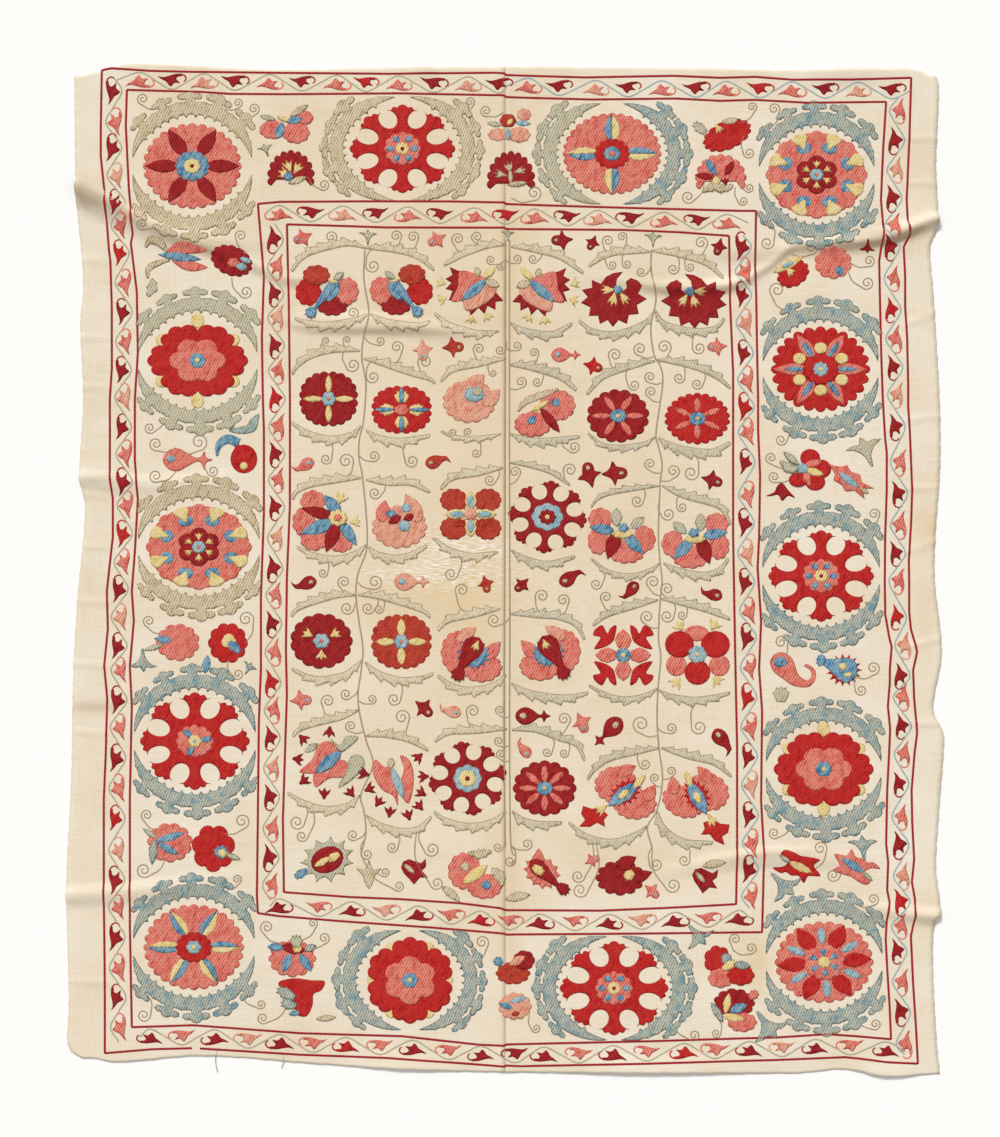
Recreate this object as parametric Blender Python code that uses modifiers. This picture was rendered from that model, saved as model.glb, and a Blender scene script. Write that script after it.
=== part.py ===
"""Suzani embroidered textile: two widths of hand-woven cotton joined by a centre seam, lying face up.

Run with: blender --background --python part.py
Units are metres. +X is to the right, +Y is to the top of the cloth and +Z is up.
The origin is on the surface that the cloth lies on, under the middle of its bounding box.
"""

from collections import namedtuple
from math import ceil, cos, pi

import bmesh
import bpy

# The cloth as it lies, from edge to edge
CLOTH_WIDTH = 1.581
CLOTH_LENGTH = 1.822
CLOTH_THICKNESS = 0.002

# The two widths meet at the centre seam with a hair of room between them
SEAM_GAP = 0.0004

# The allowance folded under the seam lifts both widths a little
SEAM_LIFT = 0.0012
SEAM_LIFT_REACH = 0.024

# How finely each width is divided
COLUMNS = 30
LONGEST_CELL = 0.036

# Colours of the undyed cotton: the left width is a little darker than the right
LEFT_COTTON = (0.80, 0.70, 0.54, 1.0)
RIGHT_COTTON = (0.82, 0.72, 0.56, 1.0)
COTTON_ROUGHNESS = 0.9

# An edge is a row of points that a smooth curve passes through
EdgePoint = namedtuple("EdgePoint", "along out")

# The left edge: along is y, out is x
LEFT_EDGE = (
    EdgePoint(-0.878, -0.762),
    EdgePoint(-0.866, -0.781),
    EdgePoint(-0.848, -0.789),
    EdgePoint(-0.777, -0.786),
    EdgePoint(-0.583, -CLOTH_WIDTH / 2),
    EdgePoint(-0.354, -0.781),
    EdgePoint(-0.189, -0.778),
    EdgePoint(-0.060, -0.771),
    EdgePoint(0.116, -0.757),
    EdgePoint(0.170, -0.767),
    EdgePoint(0.308, -0.760),
    EdgePoint(0.447, -0.765),
    EdgePoint(0.506, -0.760),
    EdgePoint(0.702, -0.774),
    EdgePoint(0.889, -0.776),
)

# The right edge: along is y, out is x
RIGHT_EDGE = (
    EdgePoint(-0.906, 0.783),
    EdgePoint(-0.848, 0.777),
    EdgePoint(-0.684, 0.770),
    EdgePoint(-0.637, 0.773),
    EdgePoint(-0.612, 0.784),
    EdgePoint(-0.534, 0.776),
    EdgePoint(-0.423, 0.782),
    EdgePoint(-0.300, CLOTH_WIDTH / 2),
    EdgePoint(-0.250, 0.771),
    EdgePoint(-0.147, 0.786),
    EdgePoint(0.004, 0.773),
    EdgePoint(0.225, 0.784),
    EdgePoint(0.501, 0.771),
    EdgePoint(0.578, 0.765),
    EdgePoint(0.625, 0.780),
    EdgePoint(0.731, 0.776),
    EdgePoint(0.870, 0.781),
    EdgePoint(0.889, 0.776),
)

# The top edge: along is x, out is y
TOP_EDGE = (
    EdgePoint(-0.776, 0.889),
    EdgePoint(-0.713, 0.906),
    EdgePoint(-0.691, CLOTH_LENGTH / 2),
    EdgePoint(-0.405, 0.900),
    EdgePoint(-0.213, 0.904),
    EdgePoint(0.088, 0.905),
    EdgePoint(0.376, 0.902),
    EdgePoint(0.518, 0.899),
    EdgePoint(0.731, 0.902),
    EdgePoint(0.763, 0.898),
    EdgePoint(0.776, 0.889),
)

# The bottom edge: along is x, out is y
BOTTOM_EDGE = (
    EdgePoint(-0.762, -0.878),
    EdgePoint(-0.735, -0.885),
    EdgePoint(-0.564, -0.874),
    EdgePoint(-0.369, -0.887),
    EdgePoint(-0.186, -0.898),
    EdgePoint(0.000, -0.903),
    EdgePoint(0.525, -0.905),
    EdgePoint(0.615, -0.898),
    EdgePoint(0.700, -CLOTH_LENGTH / 2),
    EdgePoint(0.783, -0.906),
)

# A fold is a soft ridge: its crest runs through three places, each with its height there,
# and it slopes down to the flat cloth over a width above the crest and one below it
Fold = namedtuple("Fold", "width places heights above below")

FOLDS = (
    # The pucker that runs in from the left edge under the first corner flower
    Fold("left", ((-0.776, 0.690), (-0.640, 0.618), (-0.430, 0.576)), (0.014, 0.010, 0.0), 0.022, 0.034),
    # The crease across the upper field
    Fold("left", ((-0.420, 0.456), (-0.210, 0.446), (-0.020, 0.418)), (0.0, 0.007, 0.0), 0.020, 0.030),
    # The crease that meets the left border halfway up
    Fold("left", ((-0.765, 0.166), (-0.660, 0.157), (-0.441, 0.170)), (0.007, 0.005, 0.0), 0.020, 0.030),
    # The crease under the lowest side flower
    Fold("left", ((-0.790, -0.583), (-0.675, -0.576), (-0.430, -0.541)), (0.008, 0.006, 0.0), 0.020, 0.030),
    # The crease that comes in from the right edge under the corner flower
    Fold("right", ((0.440, 0.574), (0.624, 0.592), (0.781, 0.632)), (0.0, 0.008, 0.011), 0.018, 0.024),
    # The crease that carries on from it into the field
    Fold("right", ((0.171, 0.516), (0.360, 0.511), (0.480, 0.530)), (0.0, 0.007, 0.0), 0.016, 0.022),
    # The crease along the foot of the field
    Fold("right", ((0.243, -0.549), (0.470, -0.516), (0.700, -0.520)), (0.0, 0.006, 0.0), 0.020, 0.026),
    # The short pucker at the right edge over the last corner flower
    Fold("right", ((0.600, -0.596), (0.700, -0.612), (0.788, -0.622)), (0.0, 0.006, 0.009), 0.018, 0.024),
)

# Stretches of the top and bottom edges that stand off the surface: where they start and end,
# how high the very edge is, and how far in the cloth comes down again
Lift = namedtuple("Lift", "edge start end height reach")

LIFTS = (
    Lift("bottom", -0.300, -0.060, 0.005, 0.040),
    Lift("bottom", 0.020, 0.500, 0.006, 0.045),
    Lift("bottom", 0.600, 0.770, 0.005, 0.040),
    Lift("top", -0.190, -0.100, 0.004, 0.030),
    Lift("top", 0.480, 0.730, 0.006, 0.040),
)

# Rows of the mesh at each fold, as shares of its width above or below the crest
ROWS_AT_FOLD = (-1.0, -0.5, 0.0, 0.5, 1.0)

# Rows of the mesh next to the top and bottom edges, as distances in from the edge
ROWS_AT_EDGE = (0.0, 0.012, 0.026, 0.044)


def smooth_through(points, at):
    """The value at a place on a smooth curve through the points, which never swings past them."""
    if at <= points[0][0]:
        return points[0][1]
    if at >= points[-1][0]:
        return points[-1][1]
    last = next(i for i in range(len(points)) if points[i][0] >= at)
    slopes = [
        (points[i + 1][1] - points[i][1]) / (points[i + 1][0] - points[i][0])
        for i in range(len(points) - 1)
    ]

    def tangent(i):
        if i in (0, len(points) - 1):
            return slopes[min(i, len(slopes) - 1)]
        before, after = slopes[i - 1], slopes[i]
        return 2 * before * after / (before + after) if before * after > 0 else 0.0

    (start, low), (end, high) = points[last - 1], points[last]
    span = end - start
    t = (at - start) / span
    return (
        (1 + 2 * t) * (1 - t) ** 2 * low
        + t * (1 - t) ** 2 * span * tangent(last - 1)
        + t**2 * (3 - 2 * t) * high
        + t**2 * (t - 1) * span * tangent(last)
    )


def hump(share):
    """A round hump: 1 in the middle, and exactly 0 from a share of 1 on."""
    return 0.5 + 0.5 * cos(pi * min(abs(share), 1.0))


def crest(fold, x):
    """How far up the cloth a fold's crest is, level with x."""
    return smooth_through(fold.places, x)


def fold_height(fold, x, y):
    """How high a fold lifts the cloth at a place."""
    heights = [(place[0], height) for place, height in zip(fold.places, fold.heights)]
    across = y - crest(fold, x)
    return smooth_through(heights, x) * hump(across / (fold.above if across > 0 else fold.below))


def lift_height(lift, x, y):
    """How high a lifted stretch of the top or bottom edge is at a place."""
    edge = TOP_EDGE if lift.edge == "top" else BOTTOM_EDGE
    inward = abs(smooth_through(edge, x) - y)
    middle = (lift.start + lift.end) / 2
    return lift.height * hump((x - middle) / (middle - lift.start)) * hump(inward / lift.reach)


def underside(x, y, width):
    """The height of the cloth's underside over the surface it lies on."""
    folds = sum(fold_height(fold, x, y) for fold in FOLDS if fold.width == width)
    lifts = sum(lift_height(lift, x, y) for lift in LIFTS)
    return folds + lifts + SEAM_LIFT * hump(x / SEAM_LIFT_REACH)


def rows_at(x, folds):
    """The y of each row of the mesh, level with x: close at folds and edges, and even between them."""
    bottom, top = smooth_through(BOTTOM_EDGE, x), smooth_through(TOP_EDGE, x)
    groups = [[bottom + inward for inward in ROWS_AT_EDGE]]
    for fold in folds:
        widths = [fold.above if share > 0 else fold.below for share in ROWS_AT_FOLD]
        groups.append([crest(fold, x) + share * width for share, width in zip(ROWS_AT_FOLD, widths)])
    groups.append([top - inward for inward in reversed(ROWS_AT_EDGE)])
    rows = list(groups[0])
    for i, group in enumerate(groups[1:]):
        between = cells_between(folds, i)
        rows += [rows[-1] + (group[0] - rows[-1]) * (j + 1) / between for j in range(between - 1)]
        rows += group
    return rows


def cells_between(folds, i):
    """How many cells lie between one fold or edge and the next one up, the same in every column."""
    levels = [-CLOTH_LENGTH / 2] + [fold.places[1][1] for fold in folds] + [CLOTH_LENGTH / 2]
    return max(1, ceil((levels[i + 1] - levels[i] - 2 * ROWS_AT_EDGE[-1]) / LONGEST_CELL))


def make_cotton(name, color):
    """An undyed cotton material."""
    material = bpy.data.materials.new(name)
    material.use_nodes = True
    shader = material.node_tree.nodes["Principled BSDF"]
    shader.inputs["Base Color"].default_value = color
    shader.inputs["Roughness"].default_value = COTTON_ROUGHNESS
    shader.inputs["Metallic"].default_value = 0.0
    return material


def make_width(name, width, edge, color, collection):
    """One width of cotton, from its outer edge to the seam, as an open sheet with a thickness."""
    side = -1 if width == "left" else 1
    seam = side * SEAM_GAP / 2
    folds = sorted((fold for fold in FOLDS if fold.width == width), key=lambda fold: fold.places[1][1])
    row_count = len(rows_at(seam, folds))

    mesh = bpy.data.meshes.new(name)
    grid = bmesh.new()
    bmesh.ops.create_grid(grid, x_segments=COLUMNS, y_segments=row_count - 1, size=0.5)
    for vert in grid.verts:
        column = round((vert.co.x + 0.5) * COLUMNS)
        row = round((vert.co.y + 0.5) * (row_count - 1))
        out = 1 - column / COLUMNS if side < 0 else column / COLUMNS
        straight = seam + (side * CLOTH_WIDTH / 2 - seam) * out
        y = rows_at(straight, folds)[row]
        x = seam + (smooth_through(edge, y) - seam) * out
        vert.co = (x, y, underside(x, y, width))
    grid.to_mesh(mesh)
    grid.free()
    mesh.shade_smooth()

    panel = bpy.data.objects.new(name, mesh)
    panel.data.materials.append(make_cotton(name + "_cotton", color))
    collection.objects.link(panel)
    body = panel.modifiers.new("Thickness", "SOLIDIFY")
    body.thickness = CLOTH_THICKNESS
    body.offset = 1.0
    return panel


def main():
    for old in list(bpy.data.objects):
        bpy.data.objects.remove(old, do_unlink=True)
    collection = bpy.data.collections.new("suzani_textile")
    bpy.context.scene.collection.children.link(collection)
    make_width("cotton_panel_left", "left", LEFT_EDGE, LEFT_COTTON, collection)
    make_width("cotton_panel_right", "right", RIGHT_EDGE, RIGHT_COTTON, collection)


main()
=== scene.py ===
"""Suzani embroidered textile, dressed: two joined widths of cream cotton with couched silk embroidery.

The cloth lies face up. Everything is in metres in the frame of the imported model: +X to the right, +Y to the
top of the cloth, +Z up. Places on the cloth are given as columns and rows of the photograph and sizes of
motifs in its pixels, which PIXEL turns into metres of cloth.
"""

import logging
import math
from dataclasses import dataclass, field
from enum import Enum
from functools import partial
from typing import Callable, Sequence

import bpy
import numpy as np
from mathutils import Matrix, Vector
from mathutils.geometry import delaunay_2d_cdt


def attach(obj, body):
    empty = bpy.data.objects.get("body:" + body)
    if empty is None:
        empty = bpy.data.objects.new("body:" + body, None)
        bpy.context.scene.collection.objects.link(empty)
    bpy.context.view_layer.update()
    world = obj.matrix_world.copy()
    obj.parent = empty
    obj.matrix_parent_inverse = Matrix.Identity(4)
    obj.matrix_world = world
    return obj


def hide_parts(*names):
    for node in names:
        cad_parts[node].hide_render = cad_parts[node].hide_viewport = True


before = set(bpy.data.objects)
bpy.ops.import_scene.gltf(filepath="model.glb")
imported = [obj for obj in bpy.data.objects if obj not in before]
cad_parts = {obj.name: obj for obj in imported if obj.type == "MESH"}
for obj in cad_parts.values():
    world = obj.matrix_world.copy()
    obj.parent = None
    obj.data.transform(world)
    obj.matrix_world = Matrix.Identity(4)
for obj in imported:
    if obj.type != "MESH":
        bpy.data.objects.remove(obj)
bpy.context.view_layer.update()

logging.basicConfig(level=logging.INFO, format="%(message)s")
log = logging.getLogger("suzani")

Points = np.ndarray

# Metres of cloth for each pixel of the photograph, and the pixel that lies over the origin
PIXEL = 0.0018
ORIGIN_COLUMN = 505.15
ORIGIN_ROW = 570.2

# The photograph's frame, which the camera fills
PHOTO_WIDTH = 1000
PHOTO_HEIGHT = 1137


def smooth_through(points: Sequence[tuple[float, float]], at: Points) -> Points:
    """Read a smooth curve through the points, which never swings past them.

    Args:
        points: The curve's points as (place, value), with rising places.
        at: The places to read.

    Returns:
        The curve's value at each place, level beyond the first and last points.
    """
    places, values = np.array(points, float).T
    slopes = np.diff(values) / np.diff(places)
    before, after = slopes[:-1], slopes[1:]
    same_way = before * after > 0
    total = np.where(same_way, before + after, 1.0)
    inner = np.where(same_way, 2 * before * after / total, 0.0)
    tangents = np.concatenate(([slopes[0]], inner, [slopes[-1]]))
    i = np.clip(np.searchsorted(places, at) - 1, 0, len(slopes) - 1)
    span = places[i + 1] - places[i]
    t = np.clip((at - places[i]) / span, 0, 1)
    return (
        (1 + 2 * t) * (1 - t) ** 2 * values[i]
        + t * (1 - t) ** 2 * span * tangents[i]
        + t**2 * (3 - 2 * t) * values[i + 1]
        + t**2 * (t - 1) * span * tangents[i + 1]
    )


def hump(share: Points) -> Points:
    """Give a round hump: 1 in the middle, and exactly 0 from a share of 1 on."""
    return 0.5 + 0.5 * np.cos(np.pi * np.minimum(np.abs(share), 1.0))


def rounded(points: Sequence[tuple[float, float]], closed: bool = True, steps: int = 4) -> Points:
    """Draw a smooth line through control points.

    Args:
        points: The control points.
        closed: Whether the line comes back to its start.
        steps: How many points stand for each control point.

    Returns:
        The points of the smooth line.
    """
    p = np.array(points, float)
    ends = (p[-1:], p, p[:2]) if closed else (2 * p[:1] - p[1:2], p, 2 * p[-1:] - p[-2:-1])
    q = np.concatenate(ends)
    t = (np.arange(steps) / steps)[:, None]
    pieces = []
    for i in range(len(q) - 3):
        a, b, c, d = q[i : i + 4]
        pieces.append(
            0.5 * (2 * b + (c - a) * t + (2 * a - 5 * b + 4 * c - d) * t**2 + (3 * b - a - 3 * c + d) * t**3)
        )
    if not closed:
        pieces.append(p[-1:])
    return np.concatenate(pieces)


def evenly(path: Points, step: float, closed: bool = False) -> Points:
    """Walk a path with equal steps of about the given length.

    Args:
        path: The path's points.
        step: The distance between points.
        closed: Whether the path comes back to its start.

    Returns:
        The points of the walk.
    """
    p = np.concatenate((path, path[:1])) if closed else path
    gone = np.concatenate(([0.0], np.cumsum(np.linalg.norm(np.diff(p, axis=0), axis=1))))
    count = max(2, int(round(gone[-1] / step)) + 1)
    at = np.linspace(0, gone[-1], count)
    walked = np.column_stack([np.interp(at, gone, p[:, k]) for k in (0, 1)])
    return walked[:-1] if closed else walked


def turned(points: Points, degrees: float, flip: bool = False) -> Points:
    """Turn points counter-clockwise, after an optional flip of left and right.

    Args:
        points: The points to turn.
        degrees: The angle.
        flip: Whether left and right change places first.

    Returns:
        The turned points.
    """
    p = np.array(points, float)
    if flip:
        p = p * (-1, 1)
    c, s = math.cos(math.radians(degrees)), math.sin(math.radians(degrees))
    return p @ np.array(((c, s), (-s, c)))


def on_cloth(columns_rows: Points) -> Points:
    """Turn columns and rows of the photograph into places on the cloth, in metres."""
    p = np.atleast_2d(np.array(columns_rows, float))
    return np.column_stack(((p[:, 0] - ORIGIN_COLUMN) * PIXEL, (ORIGIN_ROW - p[:, 1]) * PIXEL))


@dataclass(frozen=True)
class Fold:
    """A soft ridge in the cloth: its crest runs through places, each with its height there."""

    side: str
    places: tuple[tuple[float, float], ...]
    heights: tuple[float, ...]
    above: float
    below: float

    def height(self, x: Points, y: Points) -> Points:
        """Give how high the fold lifts the cloth at each place.

        Args:
            x: Places across the cloth.
            y: Places along the cloth.

        Returns:
            How high the fold is at each place.
        """
        across = y - smooth_through(self.places, x)
        tops = [(place[0], height) for place, height in zip(self.places, self.heights)]
        rise = smooth_through(tops, x) * hump(across / np.where(across > 0, self.above, self.below))
        return np.where(x < 0 if self.side == "left" else x > 0, rise, 0.0)


@dataclass(frozen=True)
class Lift:
    """A stretch of the top or bottom edge that stands off the surface."""

    edge: str
    start: float
    end: float
    height: float
    reach: float


@dataclass
class ClothForm:
    """The outline, folds and creases of the cloth as it lies, which everything on it follows."""

    width: float = 1.581
    length: float = 1.822
    seam_gap: float = 0.0004
    seam_lift: float = 0.0012
    seam_lift_reach: float = 0.024
    thickness: float = 0.0012
    left: tuple = (
        (-0.878, -0.762), (-0.866, -0.781), (-0.848, -0.789), (-0.777, -0.786), (-0.583, -0.7905),
        (-0.354, -0.781), (-0.189, -0.778), (-0.060, -0.771), (0.116, -0.757), (0.170, -0.767),
        (0.308, -0.760), (0.447, -0.765), (0.506, -0.760), (0.702, -0.774), (0.889, -0.776),
    )
    right: tuple = (
        (-0.906, 0.783), (-0.848, 0.777), (-0.684, 0.770), (-0.637, 0.773), (-0.612, 0.784), (-0.534, 0.776),
        (-0.423, 0.782), (-0.300, 0.7905), (-0.250, 0.771), (-0.147, 0.786), (0.004, 0.773), (0.225, 0.784),
        (0.501, 0.771), (0.578, 0.765), (0.625, 0.780), (0.731, 0.776), (0.870, 0.781), (0.889, 0.776),
    )
    top: tuple = (
        (-0.776, 0.889), (-0.713, 0.906), (-0.691, 0.911), (-0.405, 0.900), (-0.213, 0.904), (0.088, 0.905),
        (0.376, 0.902), (0.518, 0.899), (0.731, 0.902), (0.763, 0.898), (0.776, 0.889),
    )
    bottom: tuple = (
        (-0.762, -0.878), (-0.735, -0.885), (-0.564, -0.874), (-0.369, -0.887), (-0.186, -0.898),
        (0.000, -0.903), (0.525, -0.905), (0.615, -0.898), (0.700, -0.911), (0.783, -0.906),
    )
    folds: tuple = (
        Fold("left", ((-0.776, 0.690), (-0.640, 0.618), (-0.430, 0.576)), (0.014, 0.010, 0.0), 0.022, 0.034),
        Fold("left", ((-0.420, 0.456), (-0.210, 0.446), (-0.020, 0.418)), (0.0, 0.007, 0.0), 0.020, 0.030),
        Fold("left", ((-0.765, 0.166), (-0.660, 0.157), (-0.441, 0.170)), (0.007, 0.005, 0.0), 0.020, 0.030),
        Fold("left", ((-0.790, -0.583), (-0.675, -0.576), (-0.430, -0.541)), (0.008, 0.006, 0.0), 0.020, 0.030),
        Fold("right", ((0.440, 0.574), (0.624, 0.592), (0.781, 0.632)), (0.0, 0.008, 0.011), 0.018, 0.024),
        Fold("right", ((0.171, 0.516), (0.360, 0.511), (0.480, 0.530)), (0.0, 0.007, 0.0), 0.016, 0.022),
        Fold("right", ((0.243, -0.549), (0.470, -0.516), (0.700, -0.520)), (0.0, 0.006, 0.0), 0.020, 0.026),
        Fold("right", ((0.600, -0.596), (0.700, -0.612), (0.788, -0.622)), (0.0, 0.006, 0.009), 0.018, 0.024),
    )
    lifts: tuple = (
        Lift("bottom", -0.300, -0.060, 0.005, 0.040),
        Lift("bottom", 0.020, 0.500, 0.006, 0.045),
        Lift("bottom", 0.600, 0.770, 0.005, 0.040),
        Lift("top", -0.190, -0.100, 0.004, 0.030),
        Lift("top", 0.480, 0.730, 0.006, 0.040),
    )
    creases: tuple = tuple(
        Fold("left", ((-0.785, y), (-0.745, y - 0.003), (-0.700, y - 0.008)), (0.0014, 0.0018, 0.0), 0.008, 0.012)
        for y in (0.562, 0.423, 0.334, 0.139, 0.047, -0.052, -0.166, -0.288, -0.737)
    ) + tuple(
        Fold("right", ((0.700, y - slope), (0.745, y), (0.790, y + slope)), (0.0, 0.0018, 0.0014), 0.012, 0.008)
        for y, slope in ((0.776, 0.0), (0.696, 0.0), (0.451, 0.020), (0.272, 0.006), (0.147, 0.002), (0.040, 0.020),
                         (-0.134, 0.012), (-0.277, 0.0), (-0.621, 0.0))
    )
    sharp: tuple = (
        Fold("left", ((-0.774, 0.692), (-0.722, 0.670), (-0.660, 0.634), (-0.580, 0.598), (-0.459, 0.553),
                      (-0.386, 0.524), (-0.276, 0.524)), (0.0040, 0.0038, 0.0034, 0.0030, 0.0030, 0.0024, 0.0), 0.014,
             0.019),
        Fold("left", ((-0.420, 0.456), (-0.330, 0.436), (-0.160, 0.436), (-0.020, 0.425)),
             (0.0, 0.0024, 0.0020, 0.0), 0.011, 0.014),
        Fold("right", ((0.171, 0.531), (0.325, 0.506), (0.398, 0.513), (0.470, 0.546), (0.524, 0.587),
                       (0.682, 0.596), (0.734, 0.618), (0.777, 0.636)),
             (0.0, 0.0028, 0.0030, 0.0034, 0.0032, 0.0038, 0.0040, 0.0036), 0.011, 0.015),
        Fold("right", ((0.360, -0.520), (0.470, -0.505), (0.620, -0.500)), (0.0, 0.0022, 0.0), 0.011, 0.014),
    )

    # The painted shade below a sharp crease is densest this far below its crest
    SHADE_DROP = 0.007

    def underside(self, x: Points, y: Points) -> Points:
        """Give the height of the cloth's underside over the surface it lies on.

        Args:
            x: Places across the cloth.
            y: Places along the cloth.

        Returns:
            The height at each place.
        """
        rise = sum(fold.height(x, y) for fold in self.folds + self.creases + self.sharp)
        for lift in self.lifts:
            inward = np.abs(smooth_through(self.top if lift.edge == "top" else self.bottom, x) - y)
            middle = (lift.start + lift.end) / 2
            rise = rise + lift.height * hump((x - middle) / (middle - lift.start)) * hump(inward / lift.reach)
        return rise + self.seam_lift * hump(x / self.seam_lift_reach) + self.ripple(x, y)

    def crease_shade(self, x: Points, y: Points) -> Points:
        """Give how much painted shade lies just below the sharp creases, from 0 to about 1."""
        return sum(fold.height(x, y + self.SHADE_DROP) for fold in self.sharp) / max(self.sharp[0].heights)

    def ripple(self, x: Points, y: Points) -> Points:
        """Give the faint unevenness of cloth that has been folded away for years.

        Args:
            x: Places across the cloth.
            y: Places along the cloth.

        Returns:
            The unevenness at each place.
        """
        long_waves = np.sin(9.1 * x + 2.3 * np.sin(6.0 * y) + 0.7) * np.sin(13.0 * y + 1.9 * np.sin(7.0 * x))
        short_waves = np.sin(31.0 * y + 3.1 * np.sin(8.0 * x + 1.0)) * np.sin(17.0 * x + 2.0 * np.sin(11.0 * y))
        return 0.0007 * (1 + long_waves) * 0.5 + 0.0006 * (1 + short_waves) * 0.5

    def face(self, x: Points, y: Points) -> Points:
        """Give the height of the cloth's face, which the stitches lie on."""
        return self.underside(x, y) + self.thickness

    def cover(self, x: Points, y: Points, span: float) -> Points:
        """Give the height for the points of a mesh that has to stay over the face where the cloth bends sharply.

        Args:
            x: The points' places across the cloth.
            y: Their places along it, which is the way that most folds bend.
            span: Half the distance between neighbouring points.

        Returns:
            The heights: the face, and on a crest or in a trough as much more as it bends between two neighbours.
        """
        level = self.face(x, y)
        beside = (self.face(x, y - span) + self.face(x, y + span)) / 2
        return level + np.abs(level - beside)


class Wire:
    """A number that a node gives out, on which Python's operators add Math nodes."""

    def __init__(self, board: "ShaderBoard", socket: bpy.types.NodeSocket) -> None:
        """Hold the socket and the board that it is on."""
        self.board = board
        self.socket = socket

    def math(self, operation: str, *values: "Wire | float", clamp: bool = False) -> "Wire":
        """Add one Math node.

        Args:
            operation: The node's operation.
            values: Its inputs in order.
            clamp: Whether the result is kept from 0 to 1.

        Returns:
            The node's result.
        """
        settings = {"operation": operation, "use_clamp": clamp}
        node = self.board.node("ShaderNodeMath", settings, dict(enumerate(values)))
        return Wire(self.board, node.outputs[0])

    def __add__(self, other: "Wire | float") -> "Wire":
        """Add."""
        return self.math("ADD", self, other)

    __radd__ = __add__

    def __mul__(self, other: "Wire | float") -> "Wire":
        """Multiply."""
        return self.math("MULTIPLY", self, other)

    __rmul__ = __mul__

    def __sub__(self, other: "Wire | float") -> "Wire":
        """Take away."""
        return self.math("SUBTRACT", self, other)

    def __rsub__(self, other: "Wire | float") -> "Wire":
        """Take this from a number."""
        return self.math("SUBTRACT", other, self)

    def __truediv__(self, other: "Wire | float") -> "Wire":
        """Divide."""
        return self.math("DIVIDE", self, other)

    def clamped(self) -> "Wire":
        """Keep the number from 0 to 1."""
        return self.math("ADD", self, 0.0, clamp=True)

    def wave(self) -> "Wire":
        """Give a wave from 0 to 1 that is 0 at whole numbers and 1 half way between them."""
        return 0.5 - 0.5 * self.math("COSINE", self * (2 * math.pi))

    def power(self, exponent: float) -> "Wire":
        """Raise to a power."""
        return self.math("POWER", self, exponent)

    def floor(self) -> "Wire":
        """Round down."""
        return self.math("FLOOR", self)


class ShaderBoard:
    """The nodes of one material."""

    def __init__(self, name: str, roughness: float, sheen: float, specular: float) -> None:
        """Start a material.

        Args:
            name: The material's name.
            roughness: The roughness all over, unless it is driven later.
            sheen: How much soft fuzz catches the light.
            specular: The level of the plain gloss.
        """
        self.material = bpy.data.materials.new(name)
        self.material.use_nodes = True
        self.tree = self.material.node_tree
        self.shader = self.tree.nodes["Principled BSDF"]
        self.shader.inputs["Roughness"].default_value = roughness
        self.shader.inputs["Sheen Weight"].default_value = sheen
        self.shader.inputs["Sheen Roughness"].default_value = 0.5
        self.shader.inputs["Specular IOR Level"].default_value = specular

    def node(self, kind: str, settings: dict, inputs: dict) -> bpy.types.Node:
        """Add a node.

        Args:
            kind: The node's type.
            settings: Its properties, set first.
            inputs: Values or links for its sockets, by name or number.

        Returns:
            The node.
        """
        node = self.tree.nodes.new(kind)
        for name, value in settings.items():
            setattr(node, name, value)
        for key, value in inputs.items():
            socket = node.inputs[key]
            source = value.socket if isinstance(value, Wire) else value
            if isinstance(source, bpy.types.NodeSocket):
                self.tree.links.new(source, socket)
            else:
                socket.default_value = value
        return node

    def attribute(self, name: str) -> Wire:
        """Read a number that the mesh holds for each point."""
        node = self.node("ShaderNodeAttribute", {"attribute_name": name}, {})
        return Wire(self, node.outputs["Fac"])

    def split(self, vector: bpy.types.NodeSocket) -> tuple[Wire, Wire, Wire]:
        """Take a vector apart."""
        node = self.node("ShaderNodeSeparateXYZ", {}, {0: vector})
        return tuple(Wire(self, out) for out in node.outputs)

    def joined(self, x: Wire | float, y: Wire | float, z: Wire | float) -> bpy.types.NodeSocket:
        """Put a vector together."""
        return self.node("ShaderNodeCombineXYZ", {}, {0: x, 1: y, 2: z}).outputs[0]

    def noise(self, vector: bpy.types.NodeSocket, scale: float, detail: float = 2.0) -> Wire:
        """Read smooth noise from about 0 to 1."""
        node = self.node("ShaderNodeTexNoise", {}, {"Vector": vector, "Scale": scale, "Detail": detail})
        return Wire(self, node.outputs["Fac"])

    def mix(self, amount: Wire | float, first: object, second: object) -> bpy.types.NodeSocket:
        """Mix two colours.

        Args:
            amount: How much of the second colour shows.
            first: A colour or a colour socket.
            second: A colour or a colour socket.

        Returns:
            The mixed colour.
        """
        settings = {"data_type": "RGBA", "clamp_factor": True}
        colours = {6: first, 7: second}
        return self.node("ShaderNodeMix", settings, {0: amount, **colours}).outputs[2]

    def bump(self, height: Wire, distance: float, strength: float) -> None:
        """Feed a relief to the shader's normal.

        Args:
            height: The relief.
            distance: How far the relief stands out.
            strength: How strongly it shows.
        """
        inputs = {"Height": height, "Distance": distance, "Strength": strength}
        node = self.node("ShaderNodeBump", {}, inputs)
        self.tree.links.new(node.outputs["Normal"], self.shader.inputs["Normal"])

    def paint(self, colour: bpy.types.NodeSocket) -> None:
        """Feed a colour to the shader."""
        self.tree.links.new(colour, self.shader.inputs["Base Color"])

    def roughen(self, roughness: Wire) -> None:
        """Feed a roughness to the shader."""
        self.tree.links.new(roughness.socket, self.shader.inputs["Roughness"])


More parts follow.
